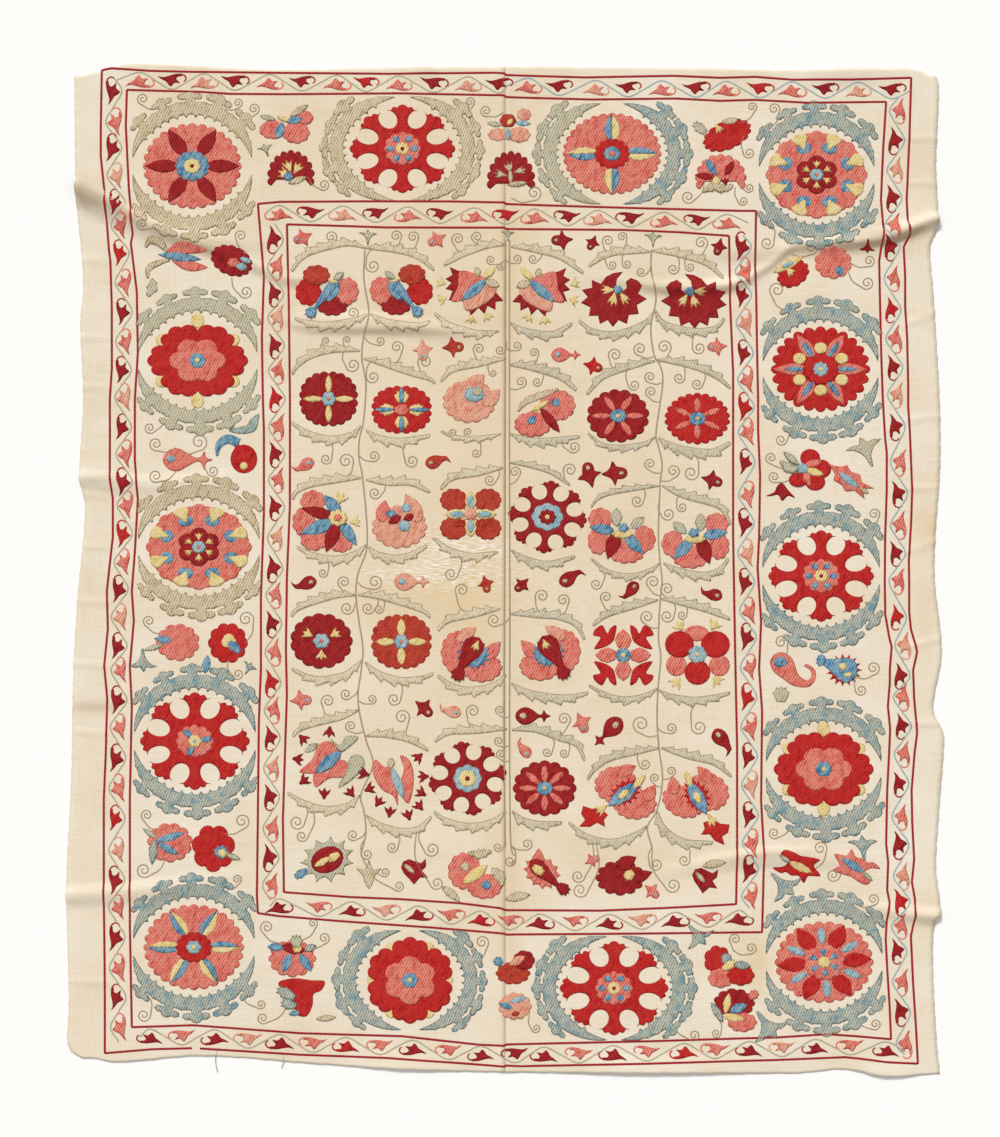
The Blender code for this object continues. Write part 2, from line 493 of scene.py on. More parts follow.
def dyed(code: str) -> tuple[float, float, float, float]:
    """Turn a screen colour written as six hex digits into the linear colour that a shader takes.

    Args:
        code: The screen colour.

    Returns:
        The colour as red, green, blue and alpha.
    """
    parts = [int(code[i : i + 2], 16) / 255 for i in (0, 2, 4)]
    linear = [p / 12.92 if p <= 0.04045 else ((p + 0.055) / 1.055) ** 2.4 for p in parts]
    return (*linear, 1.0)


# Stitch coordinates are kept in millimetres in this map: along the thread, and across it
STITCH_MAP = "Stitch"

# A row of couched thread is this wide, in millimetres
ROW_WIDTH = 4.5


@dataclass(frozen=True)
class SilkFinish:
    """Silk thread laid in rows: its colour, its streaks and painted shade in the furrows between its rows."""

    name: str
    deep: str
    main: str
    pale: str
    streaks: float = 0.5
    furrow_shade: float = 0.55
    flecks: float = 0.0
    fleck_colour: str = "6E6A5E"
    second: str = ""
    second_share: float = 0.5
    roughness: float = 0.6
    outline: float = 0.4
    slot: str = "leaf_thread"

    def material(self) -> bpy.types.Material:
        """Build the finish.

        Returns:
            Its material.
        """
        board = ShaderBoard(self.name, self.roughness, 0.03, 0.16)
        spot = board.node("ShaderNodeUVMap", {"uv_map": STITCH_MAP}, {}).outputs[0]
        along, across, _ = board.split(spot)
        # Each row has a slow change of tone, and each strand in it a quick one
        row = (across / ROW_WIDTH + 0.5).floor()
        bow = board.noise(board.joined(along * 0.07, row * 3.7, 0.0), 1.0, 1.0)
        strand = board.noise(board.joined(along * 0.06, across * 0.9, 4.0), 1.0, 2.0)
        tone = ((bow - 0.5) * 2.4 + (strand - 0.5) * 2.6 + 0.45).clamped()
        colour = board.mix(tone * self.streaks, dyed(self.main), dyed(self.pale))
        if self.second:
            patch = board.noise(board.joined(along * 0.05, across * 0.05, 9.0), 1.0, 2.0)
            shift = ((patch - 1 + self.second_share) * 4.0 + (bow - 0.5) * 4.0 + (strand - 0.5) * 4.0 + 0.2).clamped()
            colour = board.mix(shift, colour, dyed(self.second))
        if self.flecks:
            fleck = board.noise(board.joined(along * 0.3, across * 0.6, 2.0), 1.0, 1.0)
            colour = board.mix(((fleck - 0.5) * 7.0).clamped() * self.flecks, colour, dyed(self.fleck_colour))
        # Painted shade darkens the furrows between rows; the couching stitches and the outline are darker too
        dip = 1 - (across / ROW_WIDTH).wave()
        tie = (along / 7.3 + row * 0.37).wave().power(6.0)
        rim = board.attribute("rim").power(1.6) * self.outline
        hidden = ((0.47 - bow) * 3.0).clamped() * 0.4
        shade = (dip.power(1.4) * self.furrow_shade + tie * 0.16 + rim + hidden).clamped()
        board.paint(board.mix(shade, colour, dyed(self.deep)))
        board.roughen(self.roughness + 0.2 * dip)
        twist = (along * 0.9 + across * 1.7).wave()
        board.bump(strand * 0.6 + twist * 0.25 - tie * 0.5, 0.0004, 0.5)
        return board.material


class Silk(Enum):
    """The dyed threads of the embroidery."""

    # The furrow value sets how strongly painted shade darkens the furrows between rows
    CRIMSON = SilkFinish("crimson_silk", "55050D", "A5181C", "C03A34", furrow_shade=0.6, slot="red_thread")
    SCARLET = SilkFinish("scarlet_silk", "7E070E", "C81D1E", "DC4A3A", furrow_shade=0.6, slot="red_thread")
    MADDER = SilkFinish("madder_line", "5A0A14", "A01822", "B22A30", furrow_shade=0.2, slot="red_thread")
    BRICK = SilkFinish("brick_silk", "7A140F", "BC3826", "D4664A", slot="red_thread")
    ROSE = SilkFinish("rose_silk", "A83330", "E27262", "F2A892", streaks=0.9, furrow_shade=0.65, slot="pink_thread")
    SALMON = SilkFinish("salmon_silk", "B65C44", "E0957A", "F1C8AC", streaks=0.9, slot="pink_thread")
    BLUE = SilkFinish("blue_silk", "27506E", "4A84AA", "A6C6CC", streaks=1.0)
    PALE_BLUE = SilkFinish("pale_blue_silk", "527D90", "8DB2BC", "C8D6CE", streaks=0.9)
    STRAW = SilkFinish("straw_silk", "AE8A46", "EBD38A", "F5E8B6", streaks=0.8, furrow_shade=0.5)
    BEIGE = SilkFinish(
        "beige_leaf", "8E7650", "D9C8A0", "EDE2C8", streaks=0.9, flecks=0.3, fleck_colour="94866A", furrow_shade=0.62,
        outline=0.8,
    )
    GREY = SilkFinish(
        "grey_leaf", "7E775F", "CDC8AE", "E6E1CE", streaks=0.9, flecks=0.35, fleck_colour="888A7C",
        second="DACBA6", furrow_shade=0.62, outline=0.8,
    )
    SEA = SilkFinish(
        "sea_leaf", "5C6866", "C0BFAA", "DFDCCA", streaks=0.9, flecks=0.3, fleck_colour="6E7C7A",
        second="72A0AE", second_share=0.45, furrow_shade=0.62, outline=0.8,
    )
    VEIL = SilkFinish(
        "faded_leaf", "A08C60", "E2D4B2", "F0E6CE", streaks=0.9, flecks=0.25, fleck_colour="9C8E6C", furrow_shade=0.55,
        outline=0.4,
    )
    DUSK = SilkFinish(
        "worn_grey_leaf", "918366", "D8CCB0", "E9E0CA", streaks=0.9, flecks=0.3, fleck_colour="90866F", furrow_shade=0.55,
        outline=0.4,
    )
    MIST = SilkFinish("mist_stem", "6E8288", "9DB0B0", "BCCAC4", furrow_shade=0.2)
    REED = SilkFinish("reed_stem", "857A5E", "B4AA8E", "CBC2A6", furrow_shade=0.2)
    TENDRIL = SilkFinish("tendril_thread", "75654A", "A89478", "BEAF94", furrow_shade=0.2)


(CRIMSON, SCARLET, MADDER, BRICK, ROSE, SALMON, BLUE, PALE_BLUE, STRAW, BEIGE, GREY, SEA, VEIL, DUSK, MIST, REED,
 TENDRIL) = Silk


@dataclass(frozen=True)
class Spot:
    """Where a motif sits: its centre in the photograph, its turn, and how it is sized or mirrored."""

    column: float
    row: float
    turn: float = 0.0
    flip: bool = False
    size: float = 1.0

    def lay(self, points: Points) -> Points:
        """Carry a motif's own points, in pixels with y up, to their places on the cloth in metres."""
        placed = turned(np.array(points, float) * self.size, self.turn, self.flip)
        return placed * PIXEL + on_cloth((self.column, self.row))


# A spot for motifs whose points are given by paged()
PAGE = Spot(ORIGIN_COLUMN, ORIGIN_ROW)


def paged(places: Sequence[tuple[float, float]]) -> Points:
    """Turn columns and rows of the photograph into a motif's own points on PAGE."""
    p = np.array(places, float)
    return np.column_stack((p[:, 0] - ORIGIN_COLUMN, ORIGIN_ROW - p[:, 1]))


def inside(points: Points, outline: Points, margin: float) -> Points:
    """Tell which points lie inside an outline and clear of it by a margin.

    Args:
        points: The points to test.
        outline: The closed outline.
        margin: How far from the outline a point has to be.

    Returns:
        One truth value for each point.
    """
    a, b = outline, np.roll(outline, -1, axis=0)
    d = b - a
    px, py = points[:, :1], points[:, 1:]
    level = np.where(d[:, 1] == 0, 1.0, d[:, 1])
    crossed = ((a[:, 1] > py) != (b[:, 1] > py)) & (px < d[:, 0] * (py - a[:, 1]) / level + a[:, 0])
    size = np.maximum((d**2).sum(axis=1), 1e-18)
    t = np.clip(((px - a[:, 0]) * d[:, 0] + (py - a[:, 1]) * d[:, 1]) / size, 0, 1)
    gap = (px - a[:, 0] - t * d[:, 0]) ** 2 + (py - a[:, 1] - t * d[:, 1]) ** 2
    return (crossed.sum(axis=1) % 2 == 1) & (gap.min(axis=1) > margin**2)


def divided(outline: Points, step: float) -> Points:
    """Add points to the long sides of a closed outline, and keep its corners.

    Args:
        outline: The closed outline.
        step: The distance between points.

    Returns:
        The outline with its longer sides divided.
    """
    pieces = []
    for a, b in zip(outline, np.roll(outline, -1, axis=0)):
        count = max(1, math.ceil(float(np.linalg.norm(b - a)) / step))
        pieces.append(a + (b - a) * (np.arange(count) / count)[:, None])
    return np.concatenate(pieces)


@dataclass
class StitchWork:
    """One piece of embroidery: filled shapes and cords of thread that lie on the cloth."""

    name: str
    cloth: ClothForm
    verts: list = field(default_factory=list)
    faces: list = field(default_factory=list)
    maps: list = field(default_factory=list)
    rims: list = field(default_factory=list)
    silks: list = field(default_factory=list)
    face_silks: list = field(default_factory=list)
    laid: list = field(default_factory=list)

    # Heights over the cloth's face, in metres
    EDGE_RISE = 0.00035
    FURROW_RISE = 0.0005
    CREST_RISE = 0.00085
    LAYER_RISE = 0.00045
    SUNK = -0.0004
    CORD_RISE = 0.0009
    CHAIN_RISE = 0.0006

    # Metres between the points on a filled shape's outline, along its threads, and in from its outline
    EDGE_STEP = 0.0042
    THREAD_STEP = 0.0055
    CLEAR = 0.0009

    # Metres between the points of a cord, and of a line of chain stitches
    CORD_STEP = 0.0026
    CHAIN_STEP = 0.0021

    def _index(self, silk: Silk) -> int:
        """Find the silk's place among the piece's silks.

        Args:
            silk: The thread of its main part.

        Returns:
            The silk's number.
        """
        if silk not in self.silks:
            self.silks.append(silk)
        return self.silks.index(silk)

    def _add(
        self, flat: Points, rise: Points, stitch: Points, rim: Points, faces: list, silk: Silk, span: float,
    ) -> None:
        """Add a patch of mesh.

        Args:
            flat: Where its points are on the cloth.
            rise: How far each is over the cloth's face.
            stitch: Where each is along and across the thread, in millimetres.
            rim: How close each is to the patch's outline, from 0 to 1.
            faces: Its faces as lists of point numbers.
            silk: Its thread.
            span: Half the distance between neighbouring points.
        """
        base = sum(len(part) for part in self.verts)
        z = self.cloth.cover(flat[:, 0], flat[:, 1], span) + rise
        self.verts.append(np.column_stack((flat, z)))
        self.maps.append(stitch)
        self.rims.append(rim)
        self.faces.extend([tuple(base + i for i in face) for face in faces])
        self.face_silks.extend([self._index(silk)] * len(faces))

    def _layer(self, edge: Points) -> int:
        """Find the lowest layer in which a shape doesn't cut into one that is already laid.

        Args:
            edge: The shape's outline on the cloth.

        Returns:
            The number of the layer.
        """
        low, high = edge.min(axis=0), edge.max(axis=0)
        taken = set()
        for layer, other in self.laid:
            apart = (other.min(axis=0) > high).any() or (other.max(axis=0) < low).any()
            if not apart and (inside(edge, other, 0.0003).any() or inside(other, edge, 0.0003).any()):
                taken.add(layer)
        layer = max(taken, default=-1) + 1
        self.laid.append((layer, edge))
        return layer

    def fill(self, spot: Spot, outline: Points, silk: Silk, slant: float = 62.0) -> None:
        """Fill a shape with rows of couched thread, over whatever it overlaps.

        Args:
            spot: Where the shape sits.
            outline: The shape's outline in its own pixels.
            silk: The thread.
            slant: The direction of the rows in degrees.
        """
        edge = divided(spot.lay(outline), self.EDGE_STEP)
        layer = self._layer(edge)
        c, s = math.cos(math.radians(slant)), math.sin(math.radians(slant))
        axes = np.array(((c, -s), (s, c)))
        edge = edge @ axes
        half = ROW_WIDTH / 2000
        reach = self.THREAD_STEP
        low, high = edge.min(axis=0), edge.max(axis=0)
        rows = np.arange(math.floor(low[1] / half), math.ceil(high[1] / half) + 1)
        steps = np.arange(math.floor(low[0] / reach), math.ceil(high[0] / reach) + 1)
        row, step = [grid.ravel() for grid in np.meshgrid(rows, steps)]
        lattice = np.column_stack(((step + 0.5 * (row % 2)) * reach, row * half))
        kept = inside(lattice, edge, self.CLEAR)
        points = np.concatenate((edge, lattice[kept]))
        squeeze = np.array((half / reach * 1.8, 1.0)) * 1000
        count = len(edge)
        border = [(i, (i + 1) % count) for i in range(count)]
        flat, _, faces, origin, _, _ = delaunay_2d_cdt(
            [Vector(p) for p in points * squeeze], border, [], 0, 1e-6, True
        )
        flat = np.array([tuple(p) for p in flat]) / squeeze
        within = inside(flat[np.array(faces)].mean(axis=1), edge, 0.0)
        faces = [face for face, kept_one in zip(faces, within) if kept_one]
        used = sorted({i for face in faces for i in face})
        renumbered = {old: new for new, old in enumerate(used)}
        faces = [[renumbered[i] for i in face] for face in faces]
        flat, origin = flat[used], [origin[i] for i in used]
        on_rim = np.array([not ids or min(ids) < count for ids in origin])
        crest = np.round(flat[:, 1] / half) % 2 == 1
        rise = np.where(on_rim, self.EDGE_RISE, np.where(crest, self.CREST_RISE, self.FURROW_RISE))
        rise = rise + layer * self.LAYER_RISE
        sides = {}
        for face in faces:
            for a, b in zip(face, face[1:] + face[:1]):
                if sides.pop((b, a), None) is None:
                    sides[(a, b)] = True
        rim_points = sorted({i for side in sides for i in side})
        below = {i: len(flat) + k for k, i in enumerate(rim_points)}
        skirt = [(a, below[a], below[b], b) for a, b in sides]
        flat = np.concatenate((flat, flat[rim_points]))
        rise = np.concatenate((rise, np.full(len(rim_points), self.SUNK)))
        rim = np.concatenate((on_rim, np.ones(len(rim_points)))).astype(float)
        self._add(flat @ axes.T, rise, flat * 1000, rim, list(faces) + skirt, silk, reach / 2)

    def cord(
        self,
        spot: Spot,
        path: Points,
        silk: Silk,
        width: float = 1.6,
        taper: tuple[float, float] = (1.0, 1.0),
        chain: bool = False,
    ) -> None:
        """Lay a line of thread along a path.

        Args:
            spot: Where the path's own points sit.
            path: The path in its own pixels.
            silk: The thread.
            width: The line's width in pixels.
            taper: The shares of the width at its start and end.
            chain: Whether the line is a row of chain stitches.
        """
        step = self.CHAIN_STEP if chain else self.CORD_STEP
        line = evenly(spot.lay(path), step)
        ahead = np.gradient(line, axis=0)
        ahead /= np.maximum(np.linalg.norm(ahead, axis=1), 1e-12)[:, None]
        left = np.column_stack((-ahead[:, 1], ahead[:, 0]))
        count = len(line)
        share = np.linspace(0, 1, count)
        swell = np.interp(share, (0, 0.15, 0.85, 1), (taper[0], 1, 1, taper[1]))
        if chain:
            swell = swell * np.where(np.arange(count) % 2, 1.08, 0.74)
        across = np.array((-1.0, -0.5, 0.0, 0.5, 1.0)) if chain else np.array((-1.0, 0.0, 1.0))
        low, high = self.SUNK / 2, self.CORD_RISE
        rises = (low, high, self.CHAIN_RISE, high, low) if chain else (low, high, low)
        half = width * spot.size * PIXEL / 2
        flat = (line[:, None] + left[:, None] * (across[:, None] * half * swell[:, None, None])).reshape(-1, 2)
        rise = np.tile(np.array(rises), count)
        walked = np.repeat(np.arange(count) * step * 1000, len(across))
        stitch = np.column_stack((walked, np.tile(ROW_WIDTH * (0.5 + 0.4 * across), count)))
        rim = np.tile(np.abs(across) * 0.6, count)
        n = len(across)
        faces = [
            (i * n + j, i * n + j + 1, (i + 1) * n + j + 1, (i + 1) * n + j)[::-1]
            for i in range(count - 1)
            for j in range(n - 1)
        ]
        self._add(flat, rise, stitch, rim, faces, silk, step / 2)

    def finished(self) -> bpy.types.Object:
        """Make the piece's object and hand it to the frame.

        Returns:
            The object.
        """
        mesh = bpy.data.meshes.new(self.name)
        verts, maps = np.concatenate(self.verts), np.concatenate(self.maps)
        mesh.from_pydata(verts.tolist(), [], self.faces)
        mesh.polygons.foreach_set("material_index", self.face_silks)
        mesh.shade_smooth()
        corners = np.zeros(len(mesh.loops), int)
        mesh.loops.foreach_get("vertex_index", corners)
        layer = mesh.uv_layers.new(name=STITCH_MAP)
        layer.data.foreach_set("uv", maps[corners].ravel())
        rim = mesh.attributes.new("rim", "FLOAT", "POINT")
        rim.data.foreach_set("value", np.concatenate(self.rims))
        for silk in self.silks:
            mesh.materials.append(SilkBox.thread(silk))
        piece = bpy.data.objects.new(self.name, mesh)
        bpy.context.scene.collection.objects.link(piece)
        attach(piece, "root")
        triangles = sum(len(face) - 2 for face in self.faces)
        log.info("%s: %d triangles", self.name, triangles)
        return piece


class SilkBox:
    """The threads' materials, each made once."""

    made: dict = {}

    @classmethod
    def thread(cls, silk: Silk) -> bpy.types.Material:
        """Give the material of a silk.

        Args:
            silk: The thread of its main part.

        Returns:
            The material.
        """
        if silk not in cls.made:
            cls.made[silk] = silk.value.material()
        return cls.made[silk]


@dataclass(frozen=True)
class Stain:
    """A soft patch on the cotton: where it is, its half sizes and how strong it is."""

    column: float
    row: float
    wide: float
    high: float
    strength: float

    def amount(self, columns: Points, rows: Points) -> Points:
        """Give how strong the patch is at each place."""
        reach = ((columns - self.column) / self.wide) ** 2 + ((rows - self.row) / self.high) ** 2
        return self.strength * np.exp(-reach)


@dataclass
class GroundCloth:
    """The two widths of cotton."""

    cloth: ClothForm
    across: int = 88
    along: int = 420
    yellow: tuple = (
        Stain(425, 590, 85, 34, 0.35), Stain(480, 560, 40, 110, 0.2), Stain(757, 962, 16, 30, 0.6),
        Stain(938, 530, 26, 22, 0.6), Stain(90, 455, 26, 10, 0.25), Stain(300, 130, 200, 60, 0.2),
        Stain(420, 250, 120, 100, 0.2), Stain(508, 900, 14, 120, 0.35), Stain(508, 250, 12, 160, 0.3),
        Stain(620, 860, 90, 30, 0.15), Stain(90, 880, 20, 160, 0.15), Stain(925, 620, 12, 60, 0.3),
        Stain(505, 540, 230, 330, 0.38),
    )
    worn: tuple = (
        Stain(465, 546, 42, 9, 1.0), Stain(432, 575, 55, 11, 1.0), Stain(450, 560, 75, 34, 0.55),
        Stain(560, 600, 60, 30, 0.3),
        Stain(860, 455, 60, 60, 0.35), Stain(640, 1000, 90, 60, 0.25), Stain(250, 500, 60, 120, 0.2),
    )
    # Painted shade: thin brown bands along the folds and creases, where their shadows fall
    fold_shade: tuple = (
        Stain(88, 198, 16, 13, 0.9), Stain(112, 214, 30, 12, 0.35), Stain(890, 236, 36, 7, 0.7),
        Stain(740, 258, 40, 7, 0.5), Stain(640, 284, 60, 7, 0.3), Stain(210, 246, 50, 6, 0.5),
        Stain(100, 480, 26, 5, 0.5), Stain(95, 707, 26, 6, 0.6), Stain(80, 184, 9, 5, 0.4),
        Stain(930, 924, 20, 6, 0.3), Stain(440, 325, 80, 8, 0.2), Stain(840, 252, 70, 5, 0.4),
    )

    def build(self) -> None:
        """Make both widths and hand them to the frame."""
        material = CottonFinish().material()
        for side, edge, record_slot in ((-1, self.cloth.left, "cotton_left"), (1, self.cloth.right, "cotton_right")):
            self._width(side, edge, material)

    def _width(self, side: int, edge: tuple, material: bpy.types.Material) -> None:
        """Make one width.

        Args:
            side: -1 for the left width and 1 for the right one.
            edge: Its outer edge.
            material: Its finish.
        """
        cloth = self.cloth
        seam = side * cloth.seam_gap / 2
        out, up = np.meshgrid(np.linspace(0, 1, self.across + 1), np.linspace(0, 1, self.along + 1))
        out, up = out.ravel(), up.ravel()
        straight = seam + (side * cloth.width / 2 - seam) * out
        bottom, top = smooth_through(cloth.bottom, straight), smooth_through(cloth.top, straight)
        raw = 0.0006 * np.sin(straight * 410) * np.sin(straight * 167 + 1)
        y = bottom + raw + (top - bottom - 2 * raw) * up
        fray = 0.0008 * np.sin(y * 370 + 1) * np.sin(y * 143) - 0.0006
        x = seam + (smooth_through(edge, y) + side * fray - seam) * out
        z = cloth.underside(x, y)
        n = self.across + 1
        first = (np.arange(self.along)[:, None] * n + np.arange(self.across)[None, :]).ravel()
        quads = np.column_stack((first, first + 1, first + n + 1, first + n))
        if side < 0:
            quads = quads[:, ::-1]
        word = "left" if side < 0 else "right"
        name = f"ground_cotton_{word}"
        mesh = bpy.data.meshes.new(name)
        mesh.from_pydata(np.column_stack((x, y, z)).tolist(), [], quads.tolist())
        mesh.shade_smooth()
        weave = mesh.uv_layers.new(name=STITCH_MAP)
        corners = np.zeros(len(mesh.loops), int)
        mesh.loops.foreach_get("vertex_index", corners)
        weave.data.foreach_set("uv", (np.column_stack((x, y)) * 1000)[corners].ravel())
        columns, rows = ORIGIN_COLUMN + x / PIXEL, ORIGIN_ROW - y / PIXEL
        for label, patches in (("yellow", self.yellow), ("worn", self.worn), ("fold_shade", self.fold_shade)):
            layer = mesh.attributes.new(label, "FLOAT", "POINT")
            total = sum(patch.amount(columns, rows) for patch in patches)
            # Painted shade also gathers just below the sharp creases
            if label == "fold_shade":
                total = total + 0.9 * cloth.crease_shade(x, y)
            layer.data.foreach_set("value", np.clip(total, 0, 1))
        mesh.materials.append(material)
        panel = bpy.data.objects.new(name, mesh)
        bpy.context.scene.collection.objects.link(panel)
        body = panel.modifiers.new("Thickness", "SOLIDIFY")
        body.thickness = cloth.thickness
        body.offset = 1.0
        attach(panel, "root")
        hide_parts(f"cotton_panel_{word}")
        log.info("%s: %d triangles", name, 4 * len(quads) + 4 * (self.across + self.along))


@dataclass(frozen=True)
class CottonFinish:
    """Undyed hand-woven cotton: uneven threads, yellow age, white worn places and painted brown shade along the folds.
    """

    cream: str = "EEE3D2"
    warm: str = "E3D1B4"
    yellow: str = "DBBD88"
    white: str = "FBF6EC"
    bare: str = "B3A68E"
    shade_brown: str = "9A8058"

    def material(self) -> bpy.types.Material:
        """Build the finish.

        Returns:
            Its material.
        """
        board = ShaderBoard("ground_cotton", 0.85, 0.1, 0.2)
        spot = board.node("ShaderNodeUVMap", {"uv_map": STITCH_MAP}, {}).outputs[0]
        x, y, _ = board.split(spot)
        # Large clouds of tone, then the uneven threads of the weft and the warp
        cloud = board.noise(board.joined(x * 0.006, y * 0.009, 1.0), 1.0, 3.0)
        weft = board.noise(board.joined(x * 0.02, y * 0.55, 3.0), 1.0, 2.0)
        warp = board.noise(board.joined(x * 0.5, y * 0.018, 5.0), 1.0, 2.0)
        tone = ((cloud - 0.5) * 2.0 + (weft - 0.5) * 1.5 + (warp - 0.5) * 1.0 + 0.55).clamped()
        colour = board.mix(tone, dyed(self.warm), dyed(self.cream))
        colour = board.mix(board.attribute("yellow") * (0.45 + 0.9 * cloud), colour, dyed(self.yellow))
        # Worn places have pale and dark dashes along the weft
        fleck = board.noise(board.joined(x * 0.06, y * 0.6, 7.0), 1.0, 2.0)
        worn = board.attribute("worn")
        colour = board.mix(((fleck - 0.48) * 7.0).clamped() * worn, colour, dyed(self.white))
        colour = board.mix(((0.42 - fleck) * 7.0).clamped() * worn * 0.5, colour, dyed(self.bare))
        # Painted shade: the cotton turns brown along the folds and creases
        colour = board.mix(board.attribute("fold_shade") * 0.6, colour, dyed(self.shade_brown))
        board.paint(colour)
        board.bump(weft * 0.6 + warp * 0.6 + fleck * 0.3, 0.0006, 0.5)
        return board.material


class Form(Enum):
    """Outlines of single petals: shares of the length, each with its share of the half width."""

    PETAL = ((0.0, 0.34), (0.2, 0.82), (0.42, 1.0), (0.65, 0.8), (0.85, 0.38), (1.0, 0.0))
    LENS = ((0.0, 0.0), (0.2, 0.66), (0.5, 1.0), (0.8, 0.66), (1.0, 0.0))
    BUD = ((0.0, 0.25), (0.1, 0.65), (0.3, 0.95), (0.5, 1.0), (0.75, 0.88), (0.93, 0.5), (1.0, 0.0))
    DROP = ((0.0, 0.12), (0.3, 0.45), (0.6, 0.9), (0.78, 1.0), (0.92, 0.7), (1.0, 0.0))
    CROWN = ((0.0, 0.15), (0.3, 0.4), (0.5, 0.75), (0.88, 1.0), (0.66, 0.34), (1.0, 0.0))
    TUFT = ((0.0, 0.5), (0.3, 0.8), (0.62, 1.0), (0.7, 0.66), (0.95, 0.62), (0.84, 0.3), (1.0, 0.0))

    def outline(self, inner: float, outer: float, width: float, half: int = 0) -> Points:
        """Draw the petal along +X.

        Args:
            inner: Where it starts.
            outer: Where its tip is.
            width: Its full width.
            half: 1 or -1 for the left or right half alone.

        Returns:
            Its outline.
        """
        side = np.array(self.value) * (outer - inner, width / 2) + (inner, 0)
        if half:
            return np.concatenate((side * (1, half), [(outer, 0), (inner, 0)]))
        tip = 1 if self.value[-1][1] == 0 else 0
        foot = 1 if self.value[0][1] == 0 else 0
        back = side[::-1][tip : len(side) - foot] * (1, -1)
        return np.concatenate((side, back))


PETAL, LENS, BUD, DROP, CROWN, TUFT = Form


@dataclass(frozen=True)
class Petal:
    """One petal: its silk, the place of its foot, the place of its tip and its width."""

    form: Form
    silk: Silk
    x: float
    y: float
    tip_x: float
    tip_y: float
    width: float

    def stitch(self, work: StitchWork, spot: Spot) -> None:
        """Fill the petal.

        Args:
            work: The piece of embroidery that it belongs to.
            spot: Where the motif sits.
        """
        dx, dy = self.tip_x - self.x, self.tip_y - self.y
        outline = self.form.outline(0, math.hypot(dx, dy), self.width)
        work.fill(spot, turned(outline, math.degrees(math.atan2(dy, dx))) + (self.x, self.y), self.silk)


lens, blade, drop, crown, tuft = (partial(Petal, form) for form in (LENS, PETAL, DROP, CROWN, TUFT))


@dataclass(frozen=True)
class Disc:
    """A filled round, which can have scallops and broad petals along its edge."""

    width: float
    height: float
    silk: Silk
    lobes: int = 0
    depth: float = 0.1
    x: float = 0.0
    y: float = 0.0
    petals: int = 0
    petal_depth: float = 0.14
    start: float = 0.0
    sharp: float = 0.8
    turn: float = 0.0

    def stitch(self, work: StitchWork, spot: Spot) -> None:
        """Fill the round.

        Args:
            work: The piece of embroidery that it belongs to.
            spot: Where the motif sits.
        """
        count = max(16, self.lobes * 6, self.petals * 8)
        angle = np.radians(self.start) + np.arange(count) * 2 * np.pi / count
        turn = angle - np.radians(self.start)
        radius = np.ones(count)
        if self.lobes and self.sharp < 0:
            radius -= self.depth * np.abs(np.sin(self.lobes * turn / 2)) ** -self.sharp
        elif self.lobes:
            radius -= self.depth * (1 - np.abs(np.cos(self.lobes * turn / 2)) ** self.sharp)
        if self.petals:
            radius -= self.petal_depth * (1 - np.abs(np.cos(self.petals * turn / 2)) ** 0.7)
        outline = np.column_stack((np.cos(angle) * radius * self.width, np.sin(angle) * radius * self.height)) / 2
        work.fill(spot, turned(outline, self.turn) + (self.x, self.y), self.silk)


@dataclass(frozen=True)
class Wreath:
    """Equal petals around a centre, or a spread of them if a step is given."""

    count: int
    form: Form
    silk: Silk
    inner: float
    outer: float
    width: float
    start: float = 90.0
    step: float = 0.0
    squash: float = 1.0
    half: int = 0

    def stitch(self, work: StitchWork, spot: Spot) -> None:
        """Fill each petal.

        Args:
            work: The piece of embroidery that it belongs to.
            spot: Where the motif sits.
        """
        for k in range(self.count):
            degrees = self.start + k * (self.step or 360 / self.count)
            outline = turned(self.form.outline(self.inner, self.outer, self.width, self.half), degrees)
            work.fill(spot, outline * (1, self.squash), self.silk)


@dataclass(frozen=True)
class Wheel:
    """A round of eight arms with leafy ends, and eight open ovals between them."""

    width: float
    height: float
    silk: Silk = SCARLET
    start: float = 0.0
    hole: float = 0.175

    # The end of an arm: degrees from its middle, and shares of the radius
    END = (
        (-18.5, 0.935), (-14.0, 0.915), (-11.0, 0.975), (-8.5, 0.975), (-6.5, 0.95), (-3.5, 1.0), (0.0, 1.02),
        (3.5, 1.0), (6.5, 0.95), (8.5, 0.975), (11.0, 0.975), (14.0, 0.915), (18.5, 0.935),
    )

    def stitch(self, work: StitchWork, spot: Spot) -> None:
        """Fill the wheel.

        Args:
            work: The piece of embroidery that it belongs to.
            spot: Where the motif sits.
        """
        lead = np.radians(np.linspace(-50, -310, 15))
        oval = np.column_stack((0.735 + 0.225 * np.cos(lead), self.hole * np.sin(lead)))
        points = []
        for middle in self.start + 45.0 * np.arange(8):
            for degrees, radius in self.END:
                points.append(turned(((radius, 0),), middle + degrees)[0])
            points.extend(turned(oval, middle + 22.5))
        outline = np.array(points) * (self.width / 2, self.height / 2)
        work.fill(spot, outline, self.silk)


@dataclass(frozen=True)
class Shape:
    """A filled form through control points."""

    points: tuple
    silk: Silk
    soft: bool = True

    def stitch(self, work: StitchWork, spot: Spot) -> None:
        """Fill the form."""
        outline = rounded(self.points) if self.soft else np.array(self.points, float)
        work.fill(spot, outline, self.silk)


